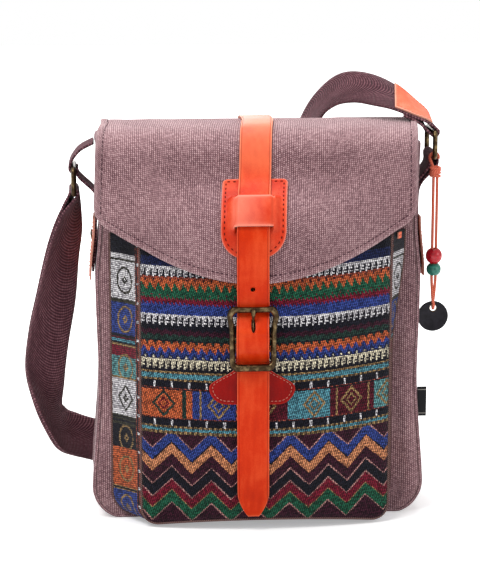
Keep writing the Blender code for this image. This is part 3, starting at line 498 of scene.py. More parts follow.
def joined(name, items):
    """One piece out of several that share a material."""
    bm = bmesh.new()
    for item in items:
        bm.from_mesh(item.data)
    finish = items[0].data.materials[0]
    for item in items:
        bpy.data.objects.remove(item, do_unlink=True)
    return show(name, smooth_mesh(name, bm), finish)


def stitches(name, line, ups, finish, pitch=3.4, share=0.66, radius=0.34, sink=0.1, closed=False):
    """A row of thread stitches along a line that lies on a surface, whose outward directions are ups."""
    line = np.array(line, float)
    ups = np.array(ups, float)
    if closed:
        line = np.vstack([line, line[:1]])
        ups = np.vstack([ups, ups[:1]])
    reach = reach_of(line)
    count = max(int(reach[-1] / pitch), 1)
    pitch = reach[-1] / count
    sides, rings = 6, 6
    rise = np.sin(np.linspace(0.0, math.pi, rings)) ** 0.5
    marks = np.zeros((rings, sides + 1, 2))
    bm = bmesh.new()
    for k in range(count):
        spots = pitch * (k + 0.5 + share * (np.linspace(-0.5, 0.5, rings)))
        up = unit(read_line(spots, reach, ups))
        centre = read_line(spots, reach, line) + up * (radius * rise - sink)[:, None]
        grid = tube_grid(centre, radius * (0.55 + 0.45 * rise), sides)
        mesh = mesh_of("stitch", grid, marks, closed=(False, True))
        bm.from_mesh(mesh)
        bpy.data.meshes.remove(mesh)
    fill_ends(bm)
    return show(name, smooth_mesh(name, bm), finish)


# Node materials

class Signal:
    """A number carried by a node socket, so that a pattern can be written as plain arithmetic."""

    def __init__(self, tree, socket):
        self.tree = tree
        self.socket = socket

    def math(self, operation, *others, clamp=False):
        node = self.tree.nodes.new("ShaderNodeMath")
        node.operation = operation
        node.use_clamp = clamp
        for slot, value in zip(node.inputs, (self, *others)):
            feed(self.tree, slot, value)
        return Signal(self.tree, node.outputs[0])

    def __add__(self, other):
        return self.math("ADD", other)

    def __sub__(self, other):
        return self.math("SUBTRACT", other)

    def __rsub__(self, other):
        return (self * -1.0) + other

    def __mul__(self, other):
        return self.math("MULTIPLY", other)

    def __truediv__(self, other):
        return self.math("DIVIDE", other)

    __radd__ = __add__
    __rmul__ = __mul__

    def floor(self):
        return self.math("FLOOR")

    def size(self):
        return self.math("ABSOLUTE")

    def above(self, other):
        return self.math("GREATER_THAN", other)

    def below(self, other):
        return self.math("LESS_THAN", other)

    def between(self, low, high):
        return self.above(low) * self.below(high)

    def within(self, *spans):
        """1 inside any of some (low, high) spans that don't overlap."""
        inside = self.between(*spans[0])
        for span in spans[1:]:
            inside = inside + self.between(*span)
        return inside

    def most(self, other):
        return self.math("MAXIMUM", other)

    def clamped(self):
        return self.math("ADD", 0.0, clamp=True)

    def teeth(self, period):
        """A zigzag from 0 to 1 and back in each period, 0 where the signal is 0."""
        return self.math("PINGPONG", period / 2) / (period / 2)

    def cells(self, size):
        """The signal held at the middle of each cell of the given size."""
        return (self / size).floor() * size + size / 2


def feed(tree, slot, value):
    if isinstance(value, Signal):
        tree.links.new(value.socket, slot)
    else:
        slot.default_value = value


class Finish:
    """A node material in the making. Sheen and coat are pairs of weight and roughness."""

    def __init__(self, name, roughness, metallic=0.0, specular=0.5, sheen=None, coat=None):
        self.material = bpy.data.materials.new(name)
        self.material.use_nodes = True
        self.tree = self.material.node_tree
        self.shader = self.tree.nodes["Principled BSDF"]
        self.shader.inputs["Roughness"].default_value = roughness
        self.shader.inputs["Metallic"].default_value = metallic
        self.shader.inputs["Specular IOR Level"].default_value = specular
        for layer, values in (("Sheen", sheen), ("Coat", coat)):
            if values:
                self.shader.inputs[layer + " Weight"].default_value = values[0]
                self.shader.inputs[layer + " Roughness"].default_value = values[1]

    def node(self, kind, **settings):
        node = self.tree.nodes.new(kind)
        for key, value in settings.items():
            setattr(node, key, value)
        return node

    def marks(self):
        """The two directions of the cloth measure, in millimetres."""
        split = self.node("ShaderNodeSeparateXYZ")
        self.tree.links.new(self.node("ShaderNodeUVMap", uv_map="mm").outputs["UV"], split.inputs[0])
        return Signal(self.tree, split.outputs["X"]), Signal(self.tree, split.outputs["Y"])

    def place(self):
        """The three coordinates of the piece itself, in millimetres."""
        split = self.node("ShaderNodeSeparateXYZ")
        self.tree.links.new(self.node("ShaderNodeTexCoord").outputs["Object"], split.inputs[0])
        return [Signal(self.tree, split.outputs[axis]) * (1 / MM) for axis in "XYZ"]

    def attribute(self, name):
        return Signal(self.tree, self.node("ShaderNodeAttribute", attribute_name=name).outputs["Fac"])

    def vector(self, x, y, z=0.0):
        pack = self.node("ShaderNodeCombineXYZ")
        for slot, value in zip(pack.inputs, (x, y, z)):
            feed(self.tree, slot, value)
        return Signal(self.tree, pack.outputs[0])

    def noise(self, vector, size, detail=2.0, roughness=0.5):
        node = self.node("ShaderNodeTexNoise")
        self.tree.links.new(vector.socket, node.inputs["Vector"])
        node.inputs["Scale"].default_value = 1.0 / size
        node.inputs["Detail"].default_value = detail
        node.inputs["Roughness"].default_value = roughness
        return Signal(self.tree, node.outputs["Fac"])

    def chance(self, x, y):
        """A fixed random number from 0 to 1 for each pair of cells."""
        node = self.node("ShaderNodeTexWhiteNoise", noise_dimensions="2D")
        self.tree.links.new(self.vector(x, y).socket, node.inputs["Vector"])
        return Signal(self.tree, node.outputs["Value"])

    def grain(self, vector, size):
        node = self.node("ShaderNodeTexVoronoi")
        self.tree.links.new(vector.socket, node.inputs["Vector"])
        node.inputs["Scale"].default_value = 1.0 / size
        return Signal(self.tree, node.outputs["Distance"])

    def mix(self, amount, a, b, blend="MIX"):
        node = self.node("ShaderNodeMix", data_type="RGBA", blend_type=blend)
        feed(self.tree, node.inputs[0], amount)
        for slot, colour in ((node.inputs[6], a), (node.inputs[7], b)):
            if isinstance(colour, Signal):
                self.tree.links.new(colour.socket, slot)
            else:
                slot.default_value = (*colour, 1.0)
        return Signal(self.tree, node.outputs[2])

    def shade(self, amount, *colours):
        """A smooth run of colours, spread evenly over 0 to 1."""
        node = self.node("ShaderNodeValToRGB")
        feed(self.tree, node.inputs[0], amount)
        stops = node.color_ramp.elements
        stops[0].color = (*colours[0], 1.0)
        stops[1].color = (*colours[-1], 1.0)
        for k, colour in enumerate(colours[1:-1], 1):
            stops.new(k / (len(colours) - 1)).color = (*colour, 1.0)
        return Signal(self.tree, node.outputs["Color"])

    def bands(self, height, bands, top):
        """Flat colours by height: bands are (lower edge, colour) pairs from 0 up, and top ends the last."""
        node = self.node("ShaderNodeValToRGB")
        node.color_ramp.interpolation = "CONSTANT"
        feed(self.tree, node.inputs[0], height / top)
        stops = node.color_ramp.elements
        stops.remove(stops[1])
        for k, (edge, colour) in enumerate(bands):
            stop = stops[0] if k == 0 else stops.new(edge / top)
            stop.position = edge / top
            stop.color = (*colour, 1.0)
        return Signal(self.tree, node.outputs["Color"])

    def levels(self, height, bands, top):
        """Like bands, for numbers from 0 to 1."""
        colour = self.bands(height, [(edge, (value, value, value)) for edge, value in bands], top)
        node = self.node("ShaderNodeSeparateColor")
        self.tree.links.new(colour.socket, node.inputs[0])
        return Signal(self.tree, node.outputs[0])

    def done(self, colour, height=None, strength=1.0, roughness=None):
        self.tree.links.new(colour.socket, self.shader.inputs["Base Color"])
        if roughness is not None:
            self.tree.links.new(roughness.socket, self.shader.inputs["Roughness"])
        if height is not None:
            bump = self.node("ShaderNodeBump")
            bump.inputs["Strength"].default_value = strength
            bump.inputs["Distance"].default_value = MM
            self.tree.links.new(height.socket, bump.inputs["Height"])
            self.tree.links.new(bump.outputs["Normal"], self.shader.inputs["Normal"])
        return self.material


def tone(red, green, blue):
    """A screen colour, 0 to 255, as the linear values that shaders take."""
    return tuple(((c / 255 + 0.055) / 1.055) ** 2.4 for c in (red, green, blue))


# Widths of the canvas's ribs and crossing threads, and of the webbing's cords and plies
CANVAS_RIB = 1.7
CANVAS_WEFT = 1.5
WEB_CORD = 2.5
WEB_PLY = 2.1


def canvas(name, dark, middle, pale):
    """Thick washed canvas: upright ribs broken into pale specks, with soft worn patches."""
    finish = Finish(name, 0.92, specular=0.04, sheen=(0.25, 0.5))
    u, v = finish.marks()
    flow = finish.noise(finish.vector(u, v), 22.0) - 0.5
    u = u + flow * 1.6
    rib = u.teeth(CANVAS_RIB)
    column = (u / CANVAS_RIB).floor()
    stepped = v + column * 0.8
    weft = stepped.teeth(CANVAS_WEFT)
    speck = finish.chance(column, (stepped / CANVAS_WEFT).floor())
    fleck = finish.noise(finish.vector(u * 0.8, v * 0.35), 1.0, 1.0)
    patch = finish.noise(finish.vector(u, v), 55.0, 3.0)
    level = rib * weft * 0.85 + rib * 0.14 + speck * 0.30 + (fleck - 0.5) * 0.25 + (patch - 0.5) * 0.42 - 0.03
    level = level + finish.attribute("wear_and_highlight") * 0.26
    colour = finish.shade(level.clamped(), dark, middle, pale)
    height = rib * 0.28 + weft * 0.16 + speck * 0.08 + fleck * 0.25
    return finish.done(colour, height, 0.8)


def lining(name, colour):
    finish = Finish(name, 0.8, specular=0.2)
    x, y, z = finish.place()
    weave = (x + y).teeth(0.9) * z.teeth(0.9)
    return finish.done(finish.mix(weave, [c * 0.6 for c in colour], colour), weave * 0.1)


# Thread colours of the woven cloth
NIGHT = tone(26, 26, 38)
NAVY = tone(34, 42, 84)
BLUE = tone(56, 76, 152)
WHITE = tone(238, 236, 236)
CREAM = tone(240, 230, 198)
ORANGE = tone(214, 106, 62)
PALE_ORANGE = tone(226, 150, 104)
GREEN = tone(34, 100, 72)
CRIMSON = tone(132, 26, 50)
MAROON = tone(66, 26, 44)
WINE = tone(96, 24, 40)
GOLD = tone(172, 140, 92)
RUST = tone(170, 82, 62)
TEAL = tone(92, 158, 172)
PINK = tone(206, 150, 142)
SPECKLED_GREEN = tone(40, 66, 58)
OLIVE = tone(62, 60, 48)
LIGHT_TEAL = tone(104, 164, 164)

STITCH_WIDE = 0.78
STITCH_HIGH = 0.82
THREAD_WIDE = 1.56
THREAD_HIGH = 1.23
THREAD_SHIFT = 0.35             # how far each row of stitches is shifted along
# Painted shade in the gaps and on the sides of the threads, and a painted highlight on their crests, which
# the pattern's colours are multiplied by
THREAD_GAP_SHADE = tone(28, 25, 34)
THREAD_SIDE_SHADE = tone(158, 154, 162)
THREAD_GLINT = (1.4, 1.4, 1.4)
ZIGZAG_PERIOD = 30.5
ZIGZAG_RISE = 15.7
ZIGZAG_PEAK_X = -9.5
ZIGZAG_TOP = 78.9

# Colours up the zigzags, by height under a peak
ZIGZAG_BANDS = [(0.0, MAROON), (21.8, PINK), (22.8, GREEN), (32.4, GOLD), (33.4, CRIMSON), (41.4, PINK),
                (42.6, NIGHT), (52.0, PINK), (53.2, MAROON), (62.6, PALE_ORANGE), (71.2, NIGHT), (72.4, BLUE),
                (81.5, PINK), (82.6, MAROON)]
# Colours up the straight rows, from the zigzags to the pocket's top; the dark top band, from 219.0 up, is
# painted shadow under the flap's edge
ROW_BANDS = [(0.0, GOLD), (80.8, TEAL), (83.0, GOLD), (84.9, NIGHT), (90.0, RUST), (91.8, NIGHT),
             (114.2, RUST), (115.4, NIGHT), (120.9, GOLD), (123.1, TEAL), (126.1, GOLD), (128.0, NIGHT),
             (136.6, CREAM), (138.4, NAVY), (140.5, BLUE), (145.2, ORANGE), (151.4, NIGHT),
             (152.4, SPECKLED_GREEN), (157.3, MAROON), (161.0, NIGHT), (172.0, WHITE), (173.9, BLUE),
             (181.5, CRIMSON), (186.6, GREEN), (195.1, ORANGE), (201.3, RUST), (202.4, NIGHT),
             (208.6, WHITE), (210.4, NAVY), (219.0, NIGHT)]
# How far the edges of the rows are pulled into teeth, as a share of TOOTH_REACH, by height
TOOTH_REACH = 10.0
TOOTH_LEVELS = [(0.0, 0.0), (139.5, 0.55), (151.4, 0.0), (152.4, 0.2), (163.0, 0.0), (178.0, 0.3),
                (186.9, 0.0), (188.2, 0.7), (201.3, 0.0)]
TOOTH_WIDE = 6.3
TOOTH_FINE = 3.1
FINE_TEETH = (163.0, 187.5)
# White combs that hang from the white lines: lower and upper end of their teeth
COMBS = [(130.6, 137.0, CREAM), (165.4, 172.4, WHITE), (203.0, 209.0, WHITE)]
COMB_PERIOD = 4.7
COMB_BAR = 1.3
COMB_TICK = 3.3
TICKED_ROWS = [(84.9, 90.0), (115.4, 120.9)]
# Blocks along the middle row: left edge, colour, and the middle of the ring or diamond in the block
BLOCK_LOW = 91.8
BLOCK_HIGH = 114.2
BLOCKS = [(-100.0, ORANGE, -76.5), (-62.4, SPECKLED_GREEN, -76.5), (-59.8, ORANGE, -76.5),
          (-55.1, BLUE, -34.4), (-21.0, ORANGE, -18.0), (-10.0, WINE, 1.0), (18.4, TEAL, 39.7),
          (51.6, WINE, 69.5), (88.0, LIGHT_TEAL, 98.9)]
BLOCK_LINES = [-48.4, 57.8, 83.7]
FIRST_BLOCK_END = -56.0
DIAMOND_WIDE = 8.6
DIAMOND_HIGH = 10.4
DOTTED_ROWS = [(78.9, 80.8), (83.0, 84.9), (90.0, BLOCK_LOW), (BLOCK_HIGH, 115.4), (120.9, 123.1),
               (126.1, 128.0)]


def woven_threads(finish, colour, u, v):
    """Thread relief over a flat pattern: painted shade in the gaps between columns and on the threads' sides,
    a painted highlight on their crests, and each stitch a little different.
    """
    row = (v / THREAD_HIGH).floor()
    shifted = u + row * THREAD_SHIFT
    column = (shifted / THREAD_WIDE).floor()
    across = shifted.teeth(THREAD_WIDE)
    rise = (v + u * 0.25).teeth(THREAD_HIGH)
    luck = finish.chance(column, row)
    relief = (across * 0.55 + rise * 0.65).clamped()
    # The pattern darkened as painted shade in the gaps and lightened as a painted highlight on the crests
    light = (relief * 1.4 + luck * 0.55 - 0.65).clamped()
    shading = finish.shade(light, THREAD_GAP_SHADE, THREAD_SIDE_SHADE, THREAD_GLINT)
    return finish.mix(1.0, colour, shading, "MULTIPLY"), relief * 0.5 + luck * 0.12


def woven_face():
    """The pocket's face: rows of lines, teeth and combs, a row of blocks, and zigzags below."""
    finish = Finish("woven_face", 0.85, specular=0.03, sheen=(0.15, 0.5))
    u, v = finish.marks()
    height = v + (finish.noise(finish.vector(u, v), 14.0) - 0.5) * 0.8
    x = u.cells(STITCH_WIDE)
    z = height.cells(STITCH_HIGH)
    reach = finish.levels(z, TOOTH_LEVELS, POCKET_TOP)
    wide = (x + z * 0.15).teeth(TOOTH_WIDE) - 0.5
    fine = (x + z * 0.5).teeth(TOOTH_FINE) - 0.5
    is_fine = z.between(*FINE_TEETH)
    tooth = (wide + is_fine * (fine - wide)) * reach * TOOTH_REACH
    colour = finish.bands(z + tooth, ROW_BANDS, POCKET_TOP)

    # Each tooth of a comb is a bar with two ticks
    for low, top, tint in COMBS:
        along = u - (u / COMB_PERIOD).floor() * COMB_PERIOD
        tick = ((height - low) / (top - low)).within((0.24, 0.44), (0.60, 1.0))
        tooth = (along.below(COMB_BAR) + along.below(COMB_TICK) * tick).clamped() * height.between(low, top)
        colour = finish.mix(tooth, colour, tint)

    tick = ((x + 3.2).teeth(13.4) * 6.7).below(0.85)
    colour = finish.mix(tick * z.within(*TICKED_ROWS), colour, WHITE)
    dot = (u / 1.9).floor().math("PINGPONG", 1.0)
    colour = finish.mix(dot * z.within(*DOTTED_ROWS) * 0.75, colour, NIGHT)

    shift = POCKET_FACE_HALF + 10.0
    span = 2 * shift
    block = finish.bands(x + shift, [(edge + shift, tint) for edge, tint, middle in BLOCKS], span)
    middle = finish.levels(x + shift, [(edge + shift, (middle + shift) / span)
                                       for edge, tint, middle in BLOCKS], span) * span - shift
    away = (x - middle).size() / DIAMOND_WIDE + (z - (BLOCK_LOW + BLOCK_HIGH) / 2).size() / DIAMOND_HIGH
    line = (x - BLOCK_LINES[0]).size().below(0.8)
    for spot in BLOCK_LINES[1:]:
        line = line + (x - spot).size().below(0.8)
    is_first = x.below(FIRST_BLOCK_END)
    block = finish.mix(away.between(0.80, 1.06), block, finish.mix(is_first, GOLD, SPECKLED_GREEN))
    block = finish.mix(away.between(0.34, 0.52), block, finish.mix(is_first, GOLD, CRIMSON))
    block = finish.mix(line, block, GOLD)
    colour = finish.mix(z.between(BLOCK_LOW, BLOCK_HIGH), colour, block)

    drop = (x - ZIGZAG_PEAK_X).teeth(ZIGZAG_PERIOD) * ZIGZAG_RISE
    zigzag = finish.bands(z + drop, ZIGZAG_BANDS, ZIGZAG_TOP + ZIGZAG_RISE + 6.0)
    colour = finish.mix(z.below(ZIGZAG_TOP), colour, zigzag)
    colour, relief = woven_threads(finish, colour, u, v)
    return finish.done(colour, relief, 0.9)


GUSSET_BANDS = [(0.0, BLUE), (24.5, GOLD), (26.0, NIGHT), (27.4, GOLD), (28.7, ORANGE), (59.9, NIGHT),
                (79.5, OLIVE), (81.0, NIGHT), (83.0, OLIVE), (84.4, NIGHT), (85.8, OLIVE), (86.9, WHITE),
                (116.1, GOLD), (118.5, LIGHT_TEAL), (134.6, CRIMSON), (142.6, GOLD), (144.2, NIGHT),
                (146.4, TEAL), (148.0, WINE), (150.4, NIGHT), (153.1, BLUE), (177.0, OLIVE), (181.0, WHITE),
                (211.0, OLIVE), (212.6, WHITE), (216.0, NIGHT)]
# Middle heights of the gusset's rings and diamonds, and where each takes over from the one below
GUSSET_MIDDLES = [(0.0, 12.0), (26.5, 44.0), (59.9, 69.5), (79.5, 101.5), (117.0, 126.5), (142.6, 165.0),
                  (179.0, 196.0), (211.0, 240.0)]
GUSSET_SPAN = 250.0             # over all of the middle heights
GUSSET_DIAMOND = (86.9, 116.1)  # heights of the block that holds a diamond instead of a ring
GUSSET_PALE_Z = 181.0           # above this the blocks are pale
GUSSET_WIDE = 7.8
GUSSET_HIGH = 10.5
GUSSET_MIDDLE_U = 17.5
STRIPE_INNER = 5.5              # dark edge stripe beside the face seam
STRIPE_OUTER = 44.0             # and where the one beside the canvas starts


def woven_gusset():
    """The same cloth turned on its side: a column of blocks between two dark edge stripes."""
    finish = Finish("woven_gusset", 0.85, specular=0.03, sheen=(0.15, 0.5))
    u, v = finish.marks()
    x = u.cells(STITCH_HIGH)
    z = (v + (finish.noise(finish.vector(u, v), 14.0) - 0.5) * 0.8).cells(STITCH_WIDE)
    colour = finish.bands(z, GUSSET_BANDS, POCKET_TOP)
    middle = finish.levels(z, [(edge, height / GUSSET_SPAN) for edge, height in GUSSET_MIDDLES],
                           POCKET_TOP) * GUSSET_SPAN
    du = (x - GUSSET_MIDDLE_U).size() / GUSSET_WIDE
    dz = (z - middle).size() / GUSSET_HIGH
    round_ring = (du * du + dz * dz).between(0.72, 1.08)
    diamond = (du + dz).between(0.84, 1.08)
    is_diamond = z.between(*GUSSET_DIAMOND)
    ring = round_ring + is_diamond * (diamond - round_ring)
    core = (du + dz).between(0.12, 0.36)
    on_pale = is_diamond + z.above(GUSSET_PALE_Z)
    colour = finish.mix((ring + core).clamped(), colour, finish.mix(on_pale, GOLD, OLIVE))
    stripe = x.below(STRIPE_INNER) + x.above(STRIPE_OUTER)
    colour = finish.mix(stripe, colour, NIGHT)
    edge_line = x.within((2.0, 3.2), (STRIPE_INNER - 0.9, STRIPE_INNER + 0.3),
                         (STRIPE_OUTER - 0.3, STRIPE_OUTER + 0.9))
    colour = finish.mix(edge_line * 0.8, colour, RUST)
    dot = (z.teeth(15.0) * 7.5).below(1.1) * (x.between(0.6, 4.2) + x.above(STRIPE_OUTER + 1.4))
    colour = finish.mix(dot, colour, WHITE)
    colour, relief = woven_threads(finish, colour, v, u)
    return finish.done(colour, relief, 0.9)


def leather(name, deep, middle, bright, pale_wear_and_highlight, roughness, crease=None):
    """Waxed leather: cloudy colour, fine grain and short creases, paler where it is rubbed and where a
    highlight is painted in.
    """
    finish = Finish(name, roughness, specular=0.08, coat=(0.04, 0.35))
    x, y, z = finish.place()
    spot = finish.vector(x, y, z)
    cloud = finish.noise(spot, 26.0, 3.0)
    streak = finish.noise(finish.vector(x * 1.6, y, z * 0.25), 7.0, 2.0)
    pores = finish.grain(spot, 1.1)
    wrinkle = finish.noise(finish.vector(x * 0.5, y, z * 1.7), 3.2, 3.0, 0.6)
    wear_and_highlight = finish.attribute("wear_and_highlight")
    # Paler where the leather is rubbed, and where a painted highlight is laid on the closure strap's top and
    # the keeper's bridge
    level = (cloud - 0.5) * 0.9 + (streak - 0.5) * 0.45 + pores * 0.10 + 0.46 + wear_and_highlight * 0.5
    colour = finish.shade(level.clamped(), deep, middle, bright)
    colour = finish.mix(((wear_and_highlight - 0.25) * 1.5).clamped() * 0.6, colour, pale_wear_and_highlight)
    rough = (cloud - 0.5) * 0.25 + roughness + wear_and_highlight * 0.1
    relief = pores * 0.10 + wrinkle * 0.12 + streak * 0.12
    if crease:
        # A line pressed in beside each edge
        u, _ = finish.marks()
        line = 1.0 - ((u.size() - crease).size() / 0.6).clamped()
        colour = finish.mix(line * 0.5, colour, [c * 0.5 for c in deep])
        relief = relief - line * 0.4
    return finish.done(colour, relief, 0.7, rough)


def raw_edge(name, colour):
    finish = Finish(name, 0.8, specular=0.06)
    x, y, z = finish.place()
    fibre = finish.noise(finish.vector(x, y * 3.0, z), 1.2, 2.0)
    return finish.done(finish.shade(fibre, [c * 0.55 for c in colour], colour), fibre * 0.3)


def webbing():
    """Ribbed cotton webbing: columns of slanting cords, with a firmer woven edge."""
    finish = Finish("webbing", 0.9, specular=0.04, sheen=(0.12, 0.4))
    u, v = finish.marks()
    slope = v + u * 0.8
    slant = u - v * 0.3
    cord = slope.teeth(WEB_CORD)
    ply = slant.teeth(WEB_PLY)
    luck = finish.chance((slant / WEB_PLY).floor(), (slope / WEB_CORD).floor())
    patch = finish.noise(finish.vector(u, v), 30.0, 2.0)
    edge = (u.size() - WEB_WIDTH / 2 + 1.6).above(0.0)
    level = cord * 0.55 + ply * 0.25 + luck * 0.15 + (patch - 0.5) * 0.3 + edge * 0.10 - 0.05
    colour = finish.shade(level.clamped(), tone(36, 19, 26), tone(97, 62, 70), tone(172, 124, 131))
    return finish.done(colour, cord * 0.7 + ply * 0.3 + luck * 0.12, 0.9)


def brass():
    """Antique brass: worn bright in random patches, brown where the patina stays."""
    finish = Finish("antique_brass", 0.34, metallic=1.0)
    x, y, z = finish.place()
    spot = finish.vector(x, y, z)
    patina = finish.noise(spot, 5.0, 4.0, 0.65)
    scratch = finish.noise(finish.vector(x * 2.0, y, z * 0.3), 0.8, 2.0)
    level = (patina - 0.5) * 1.6 + 0.5
    colour = finish.shade(level.clamped(), tone(24, 18, 13), tone(62, 49, 34), tone(152, 130, 92))
    rough = (0.5 - patina) * 0.5 + 0.36 + scratch * 0.06
    return finish.done(colour, patina * 0.12 + scratch * 0.05, 0.5, rough)


def twisted_cord(name, dark, bright):
    finish = Finish(name, 0.6, specular=0.08)
    u, v = finish.marks()
    strand = (v + u * 0.7).teeth(1.7)
    fluff = finish.noise(finish.vector(u, v), 0.6)
    colour = finish.shade((strand * 0.8 + fluff * 0.2).clamped(), dark, bright)
    return finish.done(colour, strand * 0.5 + fluff * 0.15, 1.0)


def glaze(name, deep, bright):
    """Glazed clay bead with cloudy colour."""
    finish = Finish(name, 0.16, specular=0.2, coat=(0.35, 0.06))
    x, y, z = finish.place()
    cloud = finish.noise(finish.vector(x, y, z * 1.5), 3.4, 3.0, 0.6)
    pit = finish.noise(finish.vector(x, y, z), 1.0)
    return finish.done(finish.shade(((cloud - 0.5) * 1.8 + 0.5).clamped(), deep, bright),
                       cloud * 0.15 + pit * 0.08, 0.5)


def black_disc():
    """A black lacquered disc with a ring cut near its edge and fine turning marks."""
    finish = Finish("black_disc", 0.32, specular=0.12)
    x, y, z = finish.place()
    away = ((x - CHARM_X) * (x - CHARM_X) + (z - DISC_Z) * (z - DISC_Z)).math("SQRT")
    turning = away.teeth(0.5)
    cloud = finish.noise(finish.vector(x, y, z), 4.0, 3.0)
    colour = finish.shade(((cloud - 0.5) * 1.5 + 0.5).clamped(), tone(13, 12, 16), tone(40, 38, 45))
    return finish.done(colour, turning * 0.03 + cloud * 0.05, 0.6, cloud * 0.2 + 0.25)


def label_cloth():
    """Black satin ribbon with a pale woven line near each end."""
    finish = Finish("label_cloth", 0.6, specular=0.05)
    u, v = finish.marks()
    thread = v.teeth(0.7)
    weave = (u + v * 0.5).teeth(0.9)
    end = (v - LABEL_LENGTH / 2).size()
    line = end.between(LABEL_LENGTH / 2 - 2.6, LABEL_LENGTH / 2 - 2.0)
    colour = finish.shade((thread * 0.5 + weave * 0.5).clamped(), tone(18, 18, 20), tone(52, 52, 54))
    return finish.done(finish.mix(line, colour, tone(150, 146, 140)), thread * 0.2 + weave * 0.15)


def thread(name, colour):
    finish = Finish(name, 0.65, specular=0.08)
    x, y, z = finish.place()
    twist = (x + y * 0.5 + z).teeth(0.5)
    return finish.done(finish.mix(twist, [c * 0.55 for c in colour], colour), twist * 0.1)


CANVAS = canvas("canvas", tone(76, 50, 56), tone(144, 106, 111), tone(216, 184, 185))
LINING = lining("lining", tone(52, 42, 46))
WOVEN_FACE = woven_face()
WOVEN_GUSSET = woven_gusset()
ORANGE_LEATHER = leather("orange_leather", tone(158, 28, 14), tone(202, 54, 28), tone(234, 98, 64),
                         tone(240, 150, 132), 0.36)
RED_LEATHER = leather("red_leather", tone(84, 2, 0), tone(138, 7, 1), tone(184, 24, 8),
                      tone(176, 60, 42), 0.34)
FITTING_LEATHER = leather("fitting_leather", tone(206, 80, 52), tone(240, 116, 84), tone(250, 168, 142),
                          tone(252, 196, 178), 0.42)
STRAP_LEATHER = leather("strap_leather", tone(168, 28, 6), tone(206, 50, 10), tone(236, 92, 46),
                        tone(246, 160, 124), 0.36, crease=STRAP_WIDTH / 2 - 1.7)
LEATHER_EDGE = raw_edge("leather_edge", tone(226, 160, 140))
WEBBING = webbing()
BRASS = brass()
CORD = twisted_cord("orange_cord", tone(206, 74, 48), tone(255, 150, 122))
RED_GLAZE = glaze("red_glaze", tone(146, 6, 22), tone(222, 24, 44))
GREEN_GLAZE = glaze("green_glaze", tone(10, 70, 62), tone(52, 150, 128))
BLACK_DISC = black_disc()
LABEL_CLOTH = label_cloth()
DARK_THREAD = thread("dark_thread", tone(74, 44, 56))
RED_THREAD = thread("red_thread", tone(112, 24, 20))
PALE_THREAD = thread("pale_thread", tone(232, 150, 130))
PIPING = twisted_cord("piping", tone(40, 24, 28), tone(150, 116, 110))


# Body outline

def body_half(z):
    foot = FOOT_FLARE * np.exp(-(z / FOOT_FLARE_HEIGHT) ** 2)
    pull = BODY_PULL * smooth((z - PULL_FROM_Z) / PULL_RUN)
    pull = pull + BODY_WAIST * np.exp(-((z - BODY_WAIST_Z) / BODY_WAIST_RUN) ** 2)
    return WAIST_HALF_WIDTH + foot + SHOULDER_FLARE * (z / BODY_TOP) ** 4 - pull


def side_x(y, z):
    """Outer face of the side gusset."""
    middle = (BODY_FRONT + BODY_BACK) / 2
    reach = (BODY_BACK - BODY_FRONT) / 2
    swell = SIDE_BULGE * (1 - ((y - middle) / reach) ** 2) * smooth(z / 80.0)
    return body_half(z) + swell


def u_outline(half_at, radius, top, bottom_at, shift, sides=66, arc=14, floor=56):
    """Right side, bottom and left side of a panel as (x, z) pairs, and one side as (half width, height)."""
    inner = half_at(radius) - radius
    rows = [(inner + radius * a, radius - radius * b) for a, b in sweep(90.0, 0.0, arc)]
    for k in range(1, sides + 1):
        height = lerp(radius, top, k / sides)
        rows.append((half_at(height), height))
    floor_half = rows[0][0]
    bottom = [(lerp(floor_half, -floor_half, k / floor), 0.0) for k in range(1, floor)]
    places = []
    for x, h in rows[::-1] + bottom + [(-x, h) for x, h in rows]:
        low = bottom_at(x)
        places.append((x + shift, low + h * (top - low) / top))
    return places, rows


def body_outline(floor=56):
    return u_outline(body_half, CORNER_RADIUS, BODY_TOP, lambda x: 0.0, 0.0, floor=floor)


def side_fold(x, y, z):
    """How far the canvas of the sides folds inward: long upright creases, and crumples near the foot."""
    upright = max(ripple(x / 4, y * 1.9, z * 0.32, 26.0), 0.0)
    crumple = abs(ripple(x, y * 1.2, z, 21.0)) * smooth((95.0 - z) / 80.0)
    level = smooth(z / 24.0)
    return level * (2.2 * upright + 1.5 * crumple)


def make_side_gusset():
    outline, _ = body_outline()
    across = 30
    points = np.zeros((len(outline), across + 1, 3))
    wear_and_highlight = np.zeros(points.shape[:2])
    for j, (x, z) in enumerate(outline):
        for i in range(across + 1):
            y = lerp(BODY_BACK, BODY_FRONT, i / across)
            edge = min(BODY_BACK - y, y - BODY_FRONT)
            fold = side_fold(x, y, z) * smooth(edge / 12.0)
            swell = side_x(y, z) - body_half(z) - fold
            lift = 0.0 if z > 1.0 else 0.25 * smooth(edge / 10.0)
            points[j, i] = (x + math.copysign(swell, x) if abs(x) > 1 else x, y, z + lift)
            wear_and_highlight[j, i] = 0.8 * smooth(1 - edge / 5.0) + 0.5 * smooth((30.0 - z) / 30.0)
            wear_and_highlight[j, i] += 0.35 * max(ripple(x, y * 2.0, z * 0.3, 30.0), 0.0)
    gusset = sheet("side_gusset_cloth", points, CANVAS, CLOTH, inside=LINING, wear_and_highlight=wear_and_highlight)
    dress(gusset, "root", "canvas", "side_gusset")


